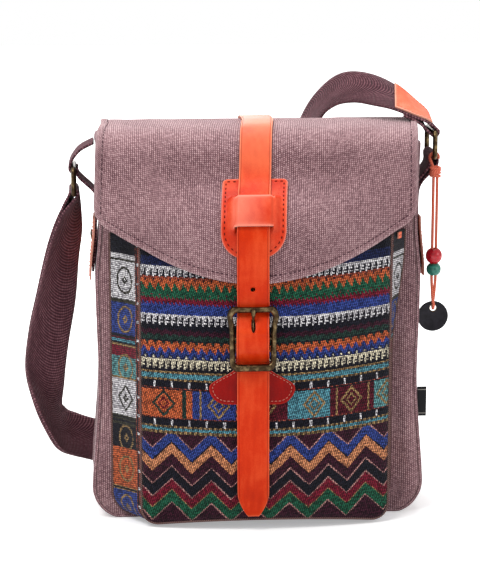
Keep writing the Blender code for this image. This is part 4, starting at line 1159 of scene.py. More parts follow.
def make_body_panels():
    _, rows = body_outline()
    across = 60
    for name, sign in (("front_panel", 1), ("back_panel", -1)):
        points = np.zeros((len(rows), across + 1, 3))
        wear_and_highlight = np.zeros(points.shape[:2])
        for j, (half, z) in enumerate(rows):
            for i in range(across + 1):
                share = sign * (2 * i / across - 1)
                x = half * share
                edge = min(half - abs(x), z)
                if sign == 1:
                    y = BODY_FRONT - GAP - CLOTH
                    y += 0.9 * max(ripple(x, 0.0, z * 0.5, 24.0), 0.0) * smooth(edge / 8.0)
                    puff = 2.6 if x > 0 else 0.7
                    across_strip = smooth(1 - abs(half - abs(x) - 9.0) / 8.5)
                    y -= puff * across_strip * smooth((190.0 - z) / 60.0) * smooth(edge / 4.0)
                    y -= 0.8 * across_strip * ripple(x * 0.5, 5.0, z, 17.0) * smooth(edge / 4.0)
                else:
                    y = BODY_BACK + GAP + CLOTH
                    y += BACK_BULGE * (1 - share * share) * math.sin(math.pi * z / BODY_TOP)
                    fold = 1.6 * abs(ripple(x, 40.0, z * 0.45, 42.0)) + 0.5 * ripple(x, 9.0, z, 15.0)
                    y -= max(fold, 0.0) * smooth(edge / 14.0)
                points[j, i] = (x, y, z)
                wear_and_highlight[j, i] = 0.9 * smooth(1 - edge / 5.0)
        panel = sheet(name + "_cloth", points, CANVAS, CLOTH, inside=LINING, wear_and_highlight=wear_and_highlight)
        dress(panel, "root", "canvas", name)


def make_body_seams():
    """Rolled seams where the panels meet the gusset, and the hem round the bag's mouth."""
    outline, _ = body_outline(floor=90)
    for name, y, out in (("front_seam", BODY_FRONT - CLOTH, -1), ("back_seam", BODY_BACK + CLOTH, 1)):
        line = [(x - math.copysign(0.2, x), y + 0.25 * out, max(z, SEAM_RADIUS + 0.1)) for x, z in outline]
        radii = [SEAM_RADIUS + 0.22 * ripple(x, y, z, 2.6) for x, z in outline]
        dress(tube(name, line, radii, CANVAS, 10), "root", "canvas")
    line = []
    y_reach = (BODY_BACK - BODY_FRONT) / 2 + CLOTH
    y_middle = (BODY_BACK + BODY_FRONT) / 2
    mouth = rounded_rectangle(body_half(BODY_TOP) + 0.2, y_reach, 2.0)
    for x, y in closed_line(mouth, 4.0):
        swell = 0.0
        if abs(x) > body_half(BODY_TOP) - 1.0:
            swell = math.copysign(side_x(y, BODY_TOP) - body_half(BODY_TOP), x)
        line.append((x + swell - math.copysign(0.7, x) * (abs(x) > 120), y + y_middle, BODY_TOP))
    dress(tube("mouth_hem", line, 1.3, CANVAS, 10, closed=True), "root", "canvas")


# Pocket

def pocket_y(x, z):
    """Outer face of the pocket's front."""
    share = np.minimum(np.abs(x - POCKET_FACE_SHIFT) / POCKET_FACE_HALF, 1.0)
    fullness = lerp(POCKET_FOOT_BULGE, 1.0, smooth(z / POCKET_FOOT_HEIGHT))
    return POCKET_FACE_Y - POCKET_BULGE * (1 - share * share) * fullness


def face_bottom(x):
    return POCKET_FACE_BOTTOM + POCKET_FACE_ARCH * (1 - (x / POCKET_FACE_HALF) ** 2)


def pocket_edges():
    face = u_outline(lambda h: POCKET_FACE_HALF, POCKET_FACE_RADIUS, POCKET_TOP, face_bottom,
                     POCKET_FACE_SHIFT)
    places, rows = u_outline(lambda h: POCKET_BASE_HALF, POCKET_BASE_RADIUS, POCKET_TOP,
                             lambda x: POCKET_BASE_BOTTOM, POCKET_BASE_SHIFT)
    tucked = []
    for x, z in places:
        tuck = POCKET_TUCK * smooth((POCKET_TUCK_TOP - z) / POCKET_TUCK_RUN) * smooth(x / 60.0)
        tuck -= POCKET_LEFT_TUCK * smooth(-x / 60.0)
        tucked.append((x - tuck, z))
    return face, (tucked, rows)


def pocket_side(share, face_place, base_place):
    """A point on the pocket's gusset, from its base seam (0) to its face seam (1)."""
    base_y = BODY_FRONT - 2 * GAP - CLOTH - POCKET_BASE_LIP
    fx, fz = face_place
    bx, bz = base_place
    fy = pocket_y(fx, fz) + CLOTH + GAP
    return np.array((lerp(bx, fx, share), lerp(base_y, fy, share), lerp(bz, fz, share)))


def make_pocket():
    (face, rows), (base, _) = pocket_edges()
    across = 26
    points = np.zeros((len(face), across + 1, 3))
    for j in range(len(face)):
        for i in range(across + 1):
            share = i / across
            spot = pocket_side(share, face[j], base[j])
            hollow = math.sin(math.pi * share) * (0.8 + 0.9 * ripple(spot[0], spot[1], spot[2], 30.0))
            spot[0] -= math.copysign(hollow, spot[0]) * smooth(spot[2] / 30.0)
            points[j, i] = spot
    width = np.linalg.norm(points[:, 1:] - points[:, :-1], axis=2).sum(axis=1)
    u = width[:, None] * (1 - np.arange(across + 1) / across)
    marks = np.stack([u, np.broadcast_to(points[:, :, 2], u.shape)], axis=-1)
    gusset = sheet("pocket_gusset_cloth", points, WOVEN_GUSSET, CLOTH, marks=marks, inside=LINING)
    dress(gusset, "root", "woven_cloth", "pocket_gusset")

    columns = 96
    points = np.zeros((len(rows), columns + 1, 3))
    for j, (half, height) in enumerate(rows):
        for i in range(columns + 1):
            x = half * (2 * i / columns - 1)
            low = face_bottom(x)
            z = low + height * (POCKET_TOP - low) / POCKET_TOP
            x += POCKET_FACE_SHIFT
            edge = min(POCKET_FACE_HALF - abs(x - POCKET_FACE_SHIFT), z - low)
            sag = 0.7 * ripple(x * 0.6, 3.0, z, 26.0) * smooth(edge / 15.0)
            calm = smooth((abs(x + 11.5) - 30.0) / 16.0)
            roll = 1.2 * smooth(1 - edge / 5.0)
            points[j, i] = (x, pocket_y(x, z) + max(sag, 0.0) * calm + roll, z)
    marks = points[:, :, [0, 2]].copy()
    marks[:, :, 1] -= ROWS_RISE * np.maximum(points[:, :, 0] / POCKET_FACE_HALF, 0.0) ** 2
    front = sheet("pocket_front_cloth", points, WOVEN_FACE, CLOTH, marks=marks, inside=LINING)
    dress(front, "root", "woven_cloth", "pocket_front")

    for name, share, out, ahead in (("pocket_face_seam", 1.0, 0.27, CLOTH / 2),
                                    ("pocket_base_seam", 0.0, 0.18, 0.0)):
        line = []
        for face_place, base_place in zip(face, base):
            x, y, z = pocket_side(share, face_place, base_place)
            x += math.copysign(out, x - POCKET_FACE_SHIFT)
            line.append((x, y - ahead, max(z, PIPING_RADIUS + 0.3)))
        dress(tube(name, line, PIPING_RADIUS, PIPING, 8), "root", "woven_cloth")


def make_corner_tab():
    """A small leather tab over the top right corner of the pocket's gusset."""
    (face, _), (base, _) = pocket_edges()
    top = pocket_side(0.5, face[0], base[0])
    low = pocket_side(0.5, face[1], base[1])
    front = pocket_side(0.5 + CORNER_TAB_WIDTH / 60.0, face[0], base[0])
    down = unit(low - top)
    ahead = unit(front - top)
    out = np.cross(ahead, down)
    lift = GAP + PATCH_THICKNESS
    points = np.array([[top + out * lift + ahead * CORNER_TAB_WIDTH * (i / 6 - 0.5)
                        + down * CORNER_TAB_HEIGHT * (j / 6) for i in range(7)] for j in range(7)])
    tab = sheet("corner_tab_leather", points, FITTING_LEATHER, PATCH_THICKNESS, rim=LEATHER_EDGE, bevel=0.3)
    dress(tab, "root", "orange_leather", "pocket_corner_tab")
    sewn = stitches("corner_tab_stitches", points[3, 1:6], [out] * 5, RED_THREAD, pitch=1.9, radius=0.25)
    dress(sewn, "root", "orange_leather")


# Flap

def lean(y):
    return LEAN_TOP + LEAN_SLOPE * np.minimum(y, 0.0)


@functools.lru_cache(maxsize=None)
def flap_path(x):
    """Outer face of the flap at one column, from its sewn edge at the back to below its tip."""
    swell = POCKET_FACE_Y - pocket_y(x + lean(POCKET_FACE_Y - POCKET_BULGE / 2), POCKET_TOP)
    face = POCKET_FACE_Y - FLAP_CLEAR
    back = BODY_BACK + GAP + 2 * CLOTH + FLAP_THICKNESS
    return Path([(back, 278.0), (back + 0.3, 297.0), (back - 6.5, 309.0), (25.0, FLAP_TOP_Z - 0.5),
                 (-5.0, FLAP_TOP_Z), (-29.0, 310.0), (-43.0, 298.0), (-51.0, 276.0),
                 (face + 3.3 - 0.72 * swell, 257.0), (face - swell, POCKET_TOP + 6.0),
                 (face - swell, 214.0), (face - swell, 190.0)])


def flap_edge(x):
    """Height of the flap's lower edge."""
    share = min(abs(x) / FLAP_REACH, 1.0)
    edge = FLAP_TIP_Z + FLAP_RISE * share ** FLAP_POWER
    inset = max(abs(x) - (FLAP_REACH - FLAP_CORNER), 0.0)
    return edge + FLAP_CORNER - math.sqrt(max(FLAP_CORNER ** 2 - inset ** 2, 0.0))


def flap_point(x, distance, lift=0.0):
    """A point at a height over the flap's outer face."""
    path = flap_path(x)
    y, z = path.at(distance)
    ty, tz = path.tangent(distance)
    return np.array([x + lean(y), y + lift * tz, z - lift * ty])


def hem_lift(edge):
    """Height of the doubled, rolled hem at a distance from the cloth's edge."""
    crown = smooth(edge / 1.6) * smooth((HEM_WIDTH + 0.4 - edge) / 1.8)
    groove = math.exp(-((edge - HEM_WIDTH) / 0.9) ** 2)
    return HEM_LIFT * crown - 0.3 * groove


def flap_cloth_point(x, path, distance, reach):
    """The cloth's face with its hem, its soft folds and its puckers; the edge distance comes with it."""
    y, z = path.at(distance)
    ty, tz = path.tangent(distance)
    edge = min((reach - distance) * EDGE_SLANT, FLAP_REACH - abs(x))
    pucker = 0.28 * ripple(x, y, z, 3.6) * smooth(1 - abs(edge - 3.0) / 4.0)
    calm = smooth((abs(x - STRAP_SHIFT) - 27.0) / 18.0)
    broad = 1.1 * max(ripple(x, y * 0.6, z * 0.6, 52.0), -0.1) + 0.45 * max(ripple(x, y, z, 19.0), -0.2)
    lift = hem_lift(edge) + pucker + broad * calm * smooth(edge / 12.0)
    if abs(x - STRAP_SHIFT) < KEEPER_HALF + 3.0 and z > KEEPER_BOTTOM_Z - 6.0:
        lift = min(lift, 0.3)
    return np.array((x + lean(y), y + lift * tz, z - lift * ty)), edge


def uneven(span, edge_width, edge_step, step):
    """Distances from 0 to span, close together near both ends."""
    near = list(np.arange(0.0, edge_width, edge_step))
    inner = span - 2 * edge_width
    middle = list(np.linspace(edge_width, span - edge_width, int(inner / step) + 1))
    return np.array(near + middle + [span - d for d in reversed(near)])


def path_up(path, distance):
    ty, tz = path.tangent(distance)
    return np.array((0.0, tz, -ty))


def flap_reach(x):
    """Distance along the flap at one column, from its sewn edge to its lower edge."""
    return flap_path(x).where(1, flap_edge(x))


def flap_seam(name, spots):
    """Stitches through the flap at some (x, distance, reach) spots."""
    line = [flap_cloth_point(x, flap_path(x), distance, reach)[0] for x, distance, reach in spots]
    ups = [path_up(flap_path(x), distance) for x, distance, reach in spots]
    return stitches(name, line, ups, DARK_THREAD, pitch=3.7, share=0.62)


def make_flap():
    columns = uneven(2 * FLAP_REACH, 7.0, 0.7, 2.2) - FLAP_REACH
    reaches = [flap_reach(x) for x in columns]
    mean = float(np.mean(reaches))
    shares = uneven(mean, 8.0, 0.7, 2.4) / mean
    points = np.zeros((len(shares), len(columns), 3))
    wear_and_highlight = np.zeros(points.shape[:2])
    for i, (x, reach) in enumerate(zip(columns, reaches)):
        for j, share in enumerate(shares):
            points[j, i], edge = flap_cloth_point(x, flap_path(x), reach * (1 - share), reach)
            # Paler near the edges, and paler towards the top fold
            wear_and_highlight[j, i] = 0.75 * smooth(1 - edge / 3.6) + 0.45 * smooth((points[j, i, 2] - 290.0) / 20.0)
    flap = sheet("flap_cloth", points, CANVAS, FLAP_THICKNESS, inside=LINING, wear_and_highlight=wear_and_highlight, bevel=0.4)
    dress(flap, "root", "canvas", "flap")

    inner = FLAP_REACH - HEM_WIDTH
    hem = [(x, flap_reach(x) - HEM_WIDTH / EDGE_SLANT, flap_reach(x))
           for x in np.linspace(1.5 - inner, inner - 1.5, 240)]
    seams = [flap_seam("flap_hem_stitches", hem)]
    for x in (-inner, inner):
        reach = flap_reach(x)
        side = [(x, distance, reach) for distance in np.linspace(6.0, reach - HEM_WIDTH - 1.0, 150)]
        seams.append(flap_seam("flap_side_stitches", side))
    for distance in (3.0, 9.5):
        # Far from the lower edge, so the hem has no part in these
        back = [(x, distance, 1000.0) for x in np.linspace(-inner, inner, 120)]
        seams.append(flap_seam("flap_back_stitches", back))
    thread_rows = joined("flap_stitches", seams)
    dress(thread_rows, "root", "canvas")
    max(reaches) * MM


# Closure strap

def strap_lift():
    """How far the strap's inner face stands off the flap where it lies on the keeper."""
    return KEEPER_SEAT + KEEPER_THICKNESS + GAP + 0.1


def strap_line():
    """Inner face of the closure strap: from the back, over the flap, through the buckle, to its tip."""
    path = flap_path(STRAP_SHIFT)
    rest = GAP + 0.1
    raised = strap_lift()
    keeper = path.where(1, KEEPER_TOP_Z)
    points = []
    distance = 5.0
    last = path.where(1, FLAP_TIP_Z + 9.0)
    while distance < last:
        lift = lerp(rest, raised, smooth((distance - keeper + 26.0) / 24.0))
        points.append(flap_point(STRAP_SHIFT, distance, lift)[1:])
        distance += 7.0
    under = BUCKLE_Y + BUCKLE_WIRE + BUCKLE_SWING_GAP + STRAP_THICKNESS
    end = BUCKLE_HALF_HEIGHT
    buckle = [(under - 0.9, end + 9.0), (under, end), (under - 0.6, 18.6), (STRAP_CREST + 0.5, 7.4),
              (STRAP_CREST, 3.0), (STRAP_CREST, -3.0), (STRAP_CREST + 1.7, -8.2), (under - 1.9, -16.0),
              (under, -end)]
    points += [(y, BUCKLE_Z + u) for y, u in buckle]
    patch_lift = 2 * GAP + ANCHOR_THICKNESS + 0.1
    x = buckle_x()
    for z in (126.0, 115.0):
        points.append((pocket_y(x, z) - patch_lift - 0.3, z))
    for z in (104.0, 92.0, 78.0, 64.0, 50.0, 36.0, 24.0, STRAP_TIP_Z):
        lift = lerp(patch_lift, GAP + 0.2, smooth((104.0 - z) / 26.0))
        points.append((pocket_y(x, z) - lift, z))
    return Path(points)


def make_closure_strap():
    path = strap_line()
    rows = int(path.length / 1.5)
    shares = [-1.0, -0.97, -0.90, -0.75, -0.5, -0.25, 0.0, 0.25, 0.5, 0.75, 0.90, 0.97, 1.0]
    points = np.zeros((rows + 1, len(shares), 3))
    wear_and_highlight = np.zeros(points.shape[:2])
    for j in range(rows + 1):
        distance = path.length * j / rows
        y, z = path.at(distance)
        ty, tz = path.tangent(distance)
        left = path.length - distance
        half = STRAP_WIDTH / 2 - 0.5
        if left < STRAP_TAPER:
            half *= 0.30 + 0.70 * math.sin(math.pi / 2 * left / STRAP_TAPER) ** 0.8
        x = STRAP_SHIFT + lean(y + STRAP_THICKNESS / 2 * tz)
        for i, share in enumerate(shares):
            lift = STRAP_THICKNESS / 2 - 0.22 * abs(share) ** 8
            points[j, i] = (x - half * share, y + lift * tz, z - lift * ty)
            # Paler along both edges and at the tip, and a painted highlight that grows up the strap towards
            # the bag's top
            wear_and_highlight[j, i] = 0.45 * smooth((abs(share) - 0.9) / 0.1) + 0.55 * smooth((z - 235.0) / 70.0)
            wear_and_highlight[j, i] += 0.5 * smooth(1 - left / 2.5)
    strap = sheet("closure_strap_leather", points, STRAP_LEATHER, STRAP_THICKNESS, 0, rim=LEATHER_EDGE,
                  wear_and_highlight=wear_and_highlight, bevel=0.35)
    x = buckle_x()
    bore(strap, 1.7, (SLOT_HIGH - SLOT_LOW) / 2 + 0.2, 30.0,
         (x, BUCKLE_Y, BUCKLE_Z + (SLOT_LOW + SLOT_HIGH) / 2 + 1.7))
    bore(strap, SPARE_HOLE_RADIUS, SPARE_HOLE_RADIUS, 12.0, (x, BUCKLE_Y + 2.0, BUCKLE_Z + SPARE_HOLE_ABOVE))
    dress(strap, "root", "orange_leather", "closure_strap")


def split_run(values, step):
    """The given places with enough others between them that none are further apart than a step."""
    places = [values[0]]
    for start, end in zip(values, values[1:]):
        count = max(int(math.ceil((end - start) / step)), 1)
        places += [lerp(start, end, k / count) for k in range(1, count + 1)]
    return places


def keeper_half(height, length):
    """Half width of the keeper at a height above its lower end."""
    if height < KEEPER_RADIUS:
        return KEEPER_HALF - KEEPER_RADIUS + math.sqrt(KEEPER_RADIUS ** 2 - (KEEPER_RADIUS - height) ** 2)
    inset = max(KEEPER_TOP_RADIUS - (length - height), 0.0)
    return KEEPER_HALF - KEEPER_TOP_RADIUS + math.sqrt(KEEPER_TOP_RADIUS ** 2 - inset ** 2)


def make_keeper():
    """A leather patch on the flap, slit twice so that its middle bridges the closure strap."""
    path = flap_path(STRAP_SHIFT)
    top = path.where(1, KEEPER_TOP_Z)
    bottom = path.where(1, KEEPER_BOTTOM_Z)
    length = bottom - top
    low = bottom - path.where(1, BRIDGE_BOTTOM_Z)
    high = bottom - path.where(1, BRIDGE_TOP_Z)
    columns = split_run([-KEEPER_HALF, -24.2, -22.0, -SLIT_END, -BRIDGE_CREST, 0.0, BRIDGE_CREST, SLIT_END,
                         22.0, 24.2, KEEPER_HALF], 0.8)
    heights = split_run([0.0, 0.25, 0.8, 1.6, 3.0, 5.0, 8.0, 12.0, 17.0, low, high, length - 4.0,
                         length - 2.0, length - 0.8, length - 0.2, length], 1.6)
    below = [h for h in heights if h <= low + 1e-6]
    bridge = [h for h in heights if low - 1e-6 <= h <= high + 1e-6]
    above = [h for h in heights if h >= high - 1e-6]
    inner = [c for c in columns if abs(c) <= SLIT_END + 1e-6]
    left = [c for c in columns if c <= -SLIT_END + 1e-6]
    right = [c for c in columns if c >= SLIT_END - 1e-6]
    crest_lift = strap_lift() + STRAP_THICKNESS + 3 * GAP + KEEPER_THICKNESS

    def spot(column, height, bridged):
        x = column * keeper_half(height, length) / KEEPER_HALF
        seat = flap_point(STRAP_SHIFT + x, bottom - height, KEEPER_SEAT + KEEPER_THICKNESS)
        if bridged:
            ramp = lerp(BRIDGE_SHARE, 1.0, smooth((SLIT_END - abs(x)) / (SLIT_END - BRIDGE_CREST)))
        else:
            outer = smooth(1 - (abs(x) - SLIT_END) / BRIDGE_SPREAD)
            ramp = BRIDGE_SHARE * min(outer, smooth(1 - (SLIT_END - abs(x)) / 1.8))
            ramp *= smooth(1 - max(low - height, height - high, 0.0) / 5.0)
        crest = flap_point(STRAP_SHIFT, bottom - height, crest_lift)
        seat[1:] = lerp(seat[1:], crest[1:], ramp)
        edge = min(keeper_half(height, length) - abs(x), height, length - height)
        near_slit = min(abs(height - low), abs(height - high)) if bridged else 9.0
        # A little paler all over, and a painted highlight on the raised bridge and beside its slits, growing
        # towards the left
        bridge_highlight = 0.08 + 0.55 * ramp * smooth((KEEPER_HALF - x) / 40.0)
        return seat, bridge_highlight + 0.6 * smooth(1 - edge / 1.8) + 0.9 * smooth(1 - near_slit / 2.0)

    bm = bmesh.new()
    for cells, levels, bridged in ((columns, below, False), (columns, above, False), (left, bridge, False),
                                   (right, bridge, False), (inner, bridge, True)):
        made = [[spot(column, height, bridged) for column in cells] for height in levels]
        points = np.array([[place for place, wear_and_highlight in row] for row in made])
        wear_and_highlight = np.array([[wear_and_highlight for place, wear_and_highlight in row] for row in made])
        mesh = mesh_of("keeper_part", points, measure(points), wear_and_highlight=wear_and_highlight)
        bm.from_mesh(mesh)
        bpy.data.meshes.remove(mesh)
    # Seams between the parts are welded, but not across the two slits
    weld = []
    for vertex in bm.verts:
        x = vertex.co.x / MM - STRAP_SHIFT - float(lean(vertex.co.y / MM))
        if abs(x) > SLIT_END - 0.3 or not is_on_slit(vertex, bottom, low, high):
            weld.append(vertex)
    bmesh.ops.remove_doubles(bm, verts=weld, dist=0.00002)
    name = "strap_keeper_leather"
    keeper = show(name, smooth_mesh(name, bm), ORANGE_LEATHER, ORANGE_LEATHER, LEATHER_EDGE)
    thicken(keeper, KEEPER_THICKNESS, bevel=0.35)
    dress(keeper, "root", "orange_leather", "strap_keeper")

    # Down the left side, round the foot and up the right side, with the top left open for the strap
    inset = 2.7
    half = KEEPER_HALF - inset
    top_run = np.linspace(STRAP_WIDTH / 2 + 1.0, half, 6)
    line = [(-x, length - inset) for x in top_run]
    line += [(-half, height) for height in np.linspace(length - inset, KEEPER_RADIUS, 24)[1:]]
    line += [(-half * a, KEEPER_RADIUS - (KEEPER_RADIUS - inset) * b) for a, b in sweep(0.0, 180.0, 40)[1:-1]]
    line += [(half, height) for height in np.linspace(KEEPER_RADIUS, length - inset, 24)]
    line += [(x, length - inset) for x in reversed(top_run[:-1])]
    places = [flap_point(STRAP_SHIFT + x, bottom - height, KEEPER_SEAT + KEEPER_THICKNESS)
              for x, height in line]
    ups = [path_up(flap_path(STRAP_SHIFT + x), bottom - height) for x, height in line]
    dress(stitches("keeper_stitches", places, ups, RED_THREAD, pitch=4.4, share=0.5, radius=0.42, sink=0.2),
          "root", "orange_leather")


def is_on_slit(vertex, bottom, low, high):
    """Whether a keeper vertex lies on the end row of one of its parts, where a slit runs."""
    path = flap_path(STRAP_SHIFT)
    return any(abs(vertex.co.z / MM - path.at(bottom - level)[1]) < 1.5 for level in (low, high))


def buckle_x():
    return STRAP_SHIFT + lean(BUCKLE_Y)


def make_buckle():
    x = float(buckle_x())
    outline = closed_line(rounded_rectangle(BUCKLE_HALF_WIDTH, BUCKLE_HALF_HEIGHT, BUCKLE_CORNER, 8), 1.0)
    line, radii = [], []
    for a, b in outline:
        waist = BUCKLE_WAIST * smooth((BUCKLE_HALF_HEIGHT - 3.0 - b) / 15.0) * smooth((abs(a) - 11.0) / 5.0)
        ear = math.exp(-((abs(a) - BUCKLE_HALF_WIDTH + 2.2) ** 2 + (b - BUCKLE_HALF_HEIGHT + 2.2) ** 2) / 9.0)
        foot = smooth((-b - BUCKLE_HALF_HEIGHT + 5.0) / 4.0)
        radius = lerp(BUCKLE_WIRE, BUCKLE_FOOT_WIRE, foot)
        radii.append(lerp(radius, BUCKLE_EAR_WIRE, ear))
        spread = 0.9 * ear
        line.append((x + a - math.copysign(waist - spread, a), BUCKLE_Y - BUCKLE_FOOT_FORWARD * foot,
                     BUCKLE_Z + b + spread))
    frame_wire = tube("buckle_outer", line, radii, BRASS, 16, closed=True)
    reach = BUCKLE_HALF_WIDTH - BUCKLE_WAIST
    bar = tube("buckle_bar", [(x + a, BUCKLE_Y, BUCKLE_Z) for a in np.linspace(-reach, reach, 9)], CENTRE_BAR,
               BRASS, 14)
    dress(joined("buckle_brass", [frame_wire, bar]), "buckle", "antique_brass", "buckle_frame")

    loop = CENTRE_BAR + GAP + PRONG_WIRE
    rest_y = BUCKLE_Y - BUCKLE_WIRE - GAP - PRONG_WIRE
    top_z = BUCKLE_Z + BUCKLE_HALF_HEIGHT
    points = [(x, rest_y, top_z + 1.2), (x, rest_y, top_z - 4.0), (x, BUCKLE_Y - 1.6, BUCKLE_Z + 13.0),
              (x, BUCKLE_Y - loop + 0.9, BUCKLE_Z + 6.5)]
    points += [(x, BUCKLE_Y + loop * a, BUCKLE_Z + loop * b) for a, b in sweep(180.0, 455.0, 12)]
    path = Path(points, 6)
    spots = np.linspace(0.0, path.length, 70)
    line = path.at(spots)
    near_tip = smooth(1 - spots / 9.0)
    radii = PRONG_WIRE * (0.55 + 0.45 * smooth(spots / 1.2)) + (PRONG_TIP_WIDE - PRONG_WIRE) * near_tip * 0.5
    dress(tube("prong_brass", line, radii, BRASS, 14), "prong", "antique_brass", "buckle_prong")


def anchor_half(half, z):
    """Half width of the anchor where it narrows from a wider patch into its neck."""
    return lerp(half, ANCHOR_NECK_HALF, smooth((z - ANCHOR_NECK_Z) / ANCHOR_NECK_RUN))


def anchor_rows():
    """The anchor from its foot up and round the bar, as (height, depth or None on the pocket, half width).

    The first and last row of the prong's slot and the leather's height over the pocket come with it.
    """
    x = buckle_x()
    loop = CENTRE_BAR + GAP + ANCHOR_THICKNESS / 2
    seat = GAP + ANCHOR_THICKNESS / 2
    rows = []
    heights = split_run([ANCHOR_BOTTOM_Z, 105.15, 105.6, 106.5, 109.0, 113.0, 118.0, 135.0, 144.0], 1.5)
    for z in heights:
        below = z - ANCHOR_BOTTOM_Z
        half = ANCHOR_WIDE_HALF
        if below < ANCHOR_RADIUS:
            half += math.sqrt(ANCHOR_RADIUS ** 2 - (ANCHOR_RADIUS - below) ** 2) - ANCHOR_RADIUS
        rows.append((z, None, anchor_half(half, z)))
    flat = pocket_y(x, 146.0) - seat
    rows.append((149.5, flat - 1.2, ANCHOR_NECK_HALF))
    rows.append((BUCKLE_Z - 4.5, BUCKLE_Y + loop + 0.9, ANCHOR_NECK_HALF))
    start = len(rows) - 1
    rows += [(BUCKLE_Z + loop * b, BUCKLE_Y + loop * a, ANCHOR_NECK_HALF) for a, b in sweep(-12.0, 192.0, 18)]
    rows.append((BUCKLE_Z - 5.5, BUCKLE_Y + 0.4, ANCHOR_NECK_HALF))
    end = len(rows) - 1
    front = flat - ANCHOR_THICKNESS - GAP
    rows.append((BUCKLE_Z - 9.5, front - 0.9, ANCHOR_NECK_HALF))
    rows.append((146.0, front - 0.3, ANCHOR_NECK_HALF))
    rows.append((143.0, front - 0.1, ANCHOR_NECK_HALF))
    return rows, start, end, seat


def make_anchor():
    """The leather that holds the buckle: a patch on the pocket whose neck loops round the centre bar."""
    x = buckle_x()
    rows, slot_start, slot_end, seat = anchor_rows()
    slot = PRONG_SLOT_HALF / ANCHOR_NECK_HALF
    shares = [-1.0, -0.985, -0.95, -0.85, -0.7, -0.55, -0.4, -0.27, -slot, slot, 0.27, 0.4, 0.55, 0.7, 0.85,
              0.95, 0.985, 1.0]
    slot_column = shares.index(slot) - 1
    points = np.zeros((len(rows), len(shares), 3))
    wear_and_highlight = np.zeros(points.shape[:2])
    for j, (z, y, half) in enumerate(rows):
        for i, share in enumerate(shares):
            across = share * half
            if abs(share) == slot:
                across = math.copysign(PRONG_SLOT_HALF, share)
            depth = pocket_y(x + across, z) - seat if y is None else y
            points[j, i] = (x + across, depth, z)
            edge = min((1 - abs(share)) * half, z - ANCHOR_BOTTOM_Z)
            wear_and_highlight[j, i] = 0.6 * smooth(1 - edge / 1.6)
    mesh = mesh_of("buckle_anchor_leather", points, measure(points), wear_and_highlight=wear_and_highlight)
    bm = bmesh.new()
    bm.from_mesh(mesh)
    bm.faces.ensure_lookup_table()
    across = len(shares) - 1
    gone = [bm.faces[j * across + slot_column] for j in range(slot_start, slot_end)]
    bmesh.ops.delete(bm, geom=gone, context="FACES")
    bm.to_mesh(mesh)
    bm.free()
    mesh.shade_smooth()
    anchor = show("buckle_anchor_leather", mesh, RED_LEATHER, RED_LEATHER, LEATHER_EDGE)
    thicken(anchor, ANCHOR_THICKNESS, 0)
    dress(anchor, "root", "red_leather", "buckle_anchor")

    inset = 2.6
    radius = ANCHOR_RADIUS - inset
    corner = ANCHOR_WIDE_HALF - ANCHOR_RADIUS
    right = [(a, ANCHOR_BOTTOM_Z + inset) for a in np.linspace(STRAP_WIDTH / 2 + 1.0, corner, 6)]
    right += [(corner + radius * b, ANCHOR_BOTTOM_Z + ANCHOR_RADIUS - radius * a)
              for a, b in sweep(0.0, 90.0, 15)[1:]]
    for z in np.linspace(118.5, 131.0, 16):
        half = anchor_half(ANCHOR_WIDE_HALF, z) - inset
        if half > STRAP_WIDTH / 2:
            right.append((half, z))
    rows_of = []
    for sign in (-1, 1):
        line = [(x + sign * a, pocket_y(x + sign * a, z) - seat - ANCHOR_THICKNESS / 2, z) for a, z in right]
        rows_of.append(stitches("anchor_stitch", line, [(0.0, -1.0, 0.0)] * len(line), PALE_THREAD, pitch=2.9,
                                share=0.6, radius=0.28))
    dress(joined("anchor_stitches", rows_of), "root", "red_leather")


# Shoulder strap fittings

def make_rings():
    for name, body, x, z in (("right_ring", "right_ring", RIGHT_RING_X, RIGHT_RING_Z + RING_HEIGHT / 2),
                             ("left_ring", "left_ring", LEFT_RING_X, LEFT_RING_Z - RING_HEIGHT / 2)):
        outline = closed_line(rounded_rectangle(RING_LENGTH / 2, RING_HEIGHT / 2, RING_CORNER, 8), 1.2)
        line = [(x, RING_Y + a, z + b) for a, b in outline]
        dress(tube(name + "_brass", line, RING_WIRE, BRASS, 16, closed=True), body, "antique_brass", name)


def side_at(z):
    return side_x(RING_Y, z)


def rubbed_edges(width, heights, places, fade):
    """Wear along the four edges of a leather patch, by its heights and the shares of its width."""
    return np.array([[0.6 * smooth(1 - min((0.5 - abs(share)) * width, height - heights[0],
                                           heights[-1] - height) / fade) for share in places]
                     for height in heights])


def sewn_round(name, half_a, half_b, step, place_at):
    """Pale stitches round a leather patch; place_at gives the place and the outward direction of (a, b)."""
    spots = [place_at(a, b) for a, b in closed_line(rounded_rectangle(half_a, half_b, 1.0, 2), step)]
    return stitches(name, [place for place, up in spots], [up for place, up in spots], PALE_THREAD, pitch=3.2,
                    share=0.62, radius=0.32, closed=True)


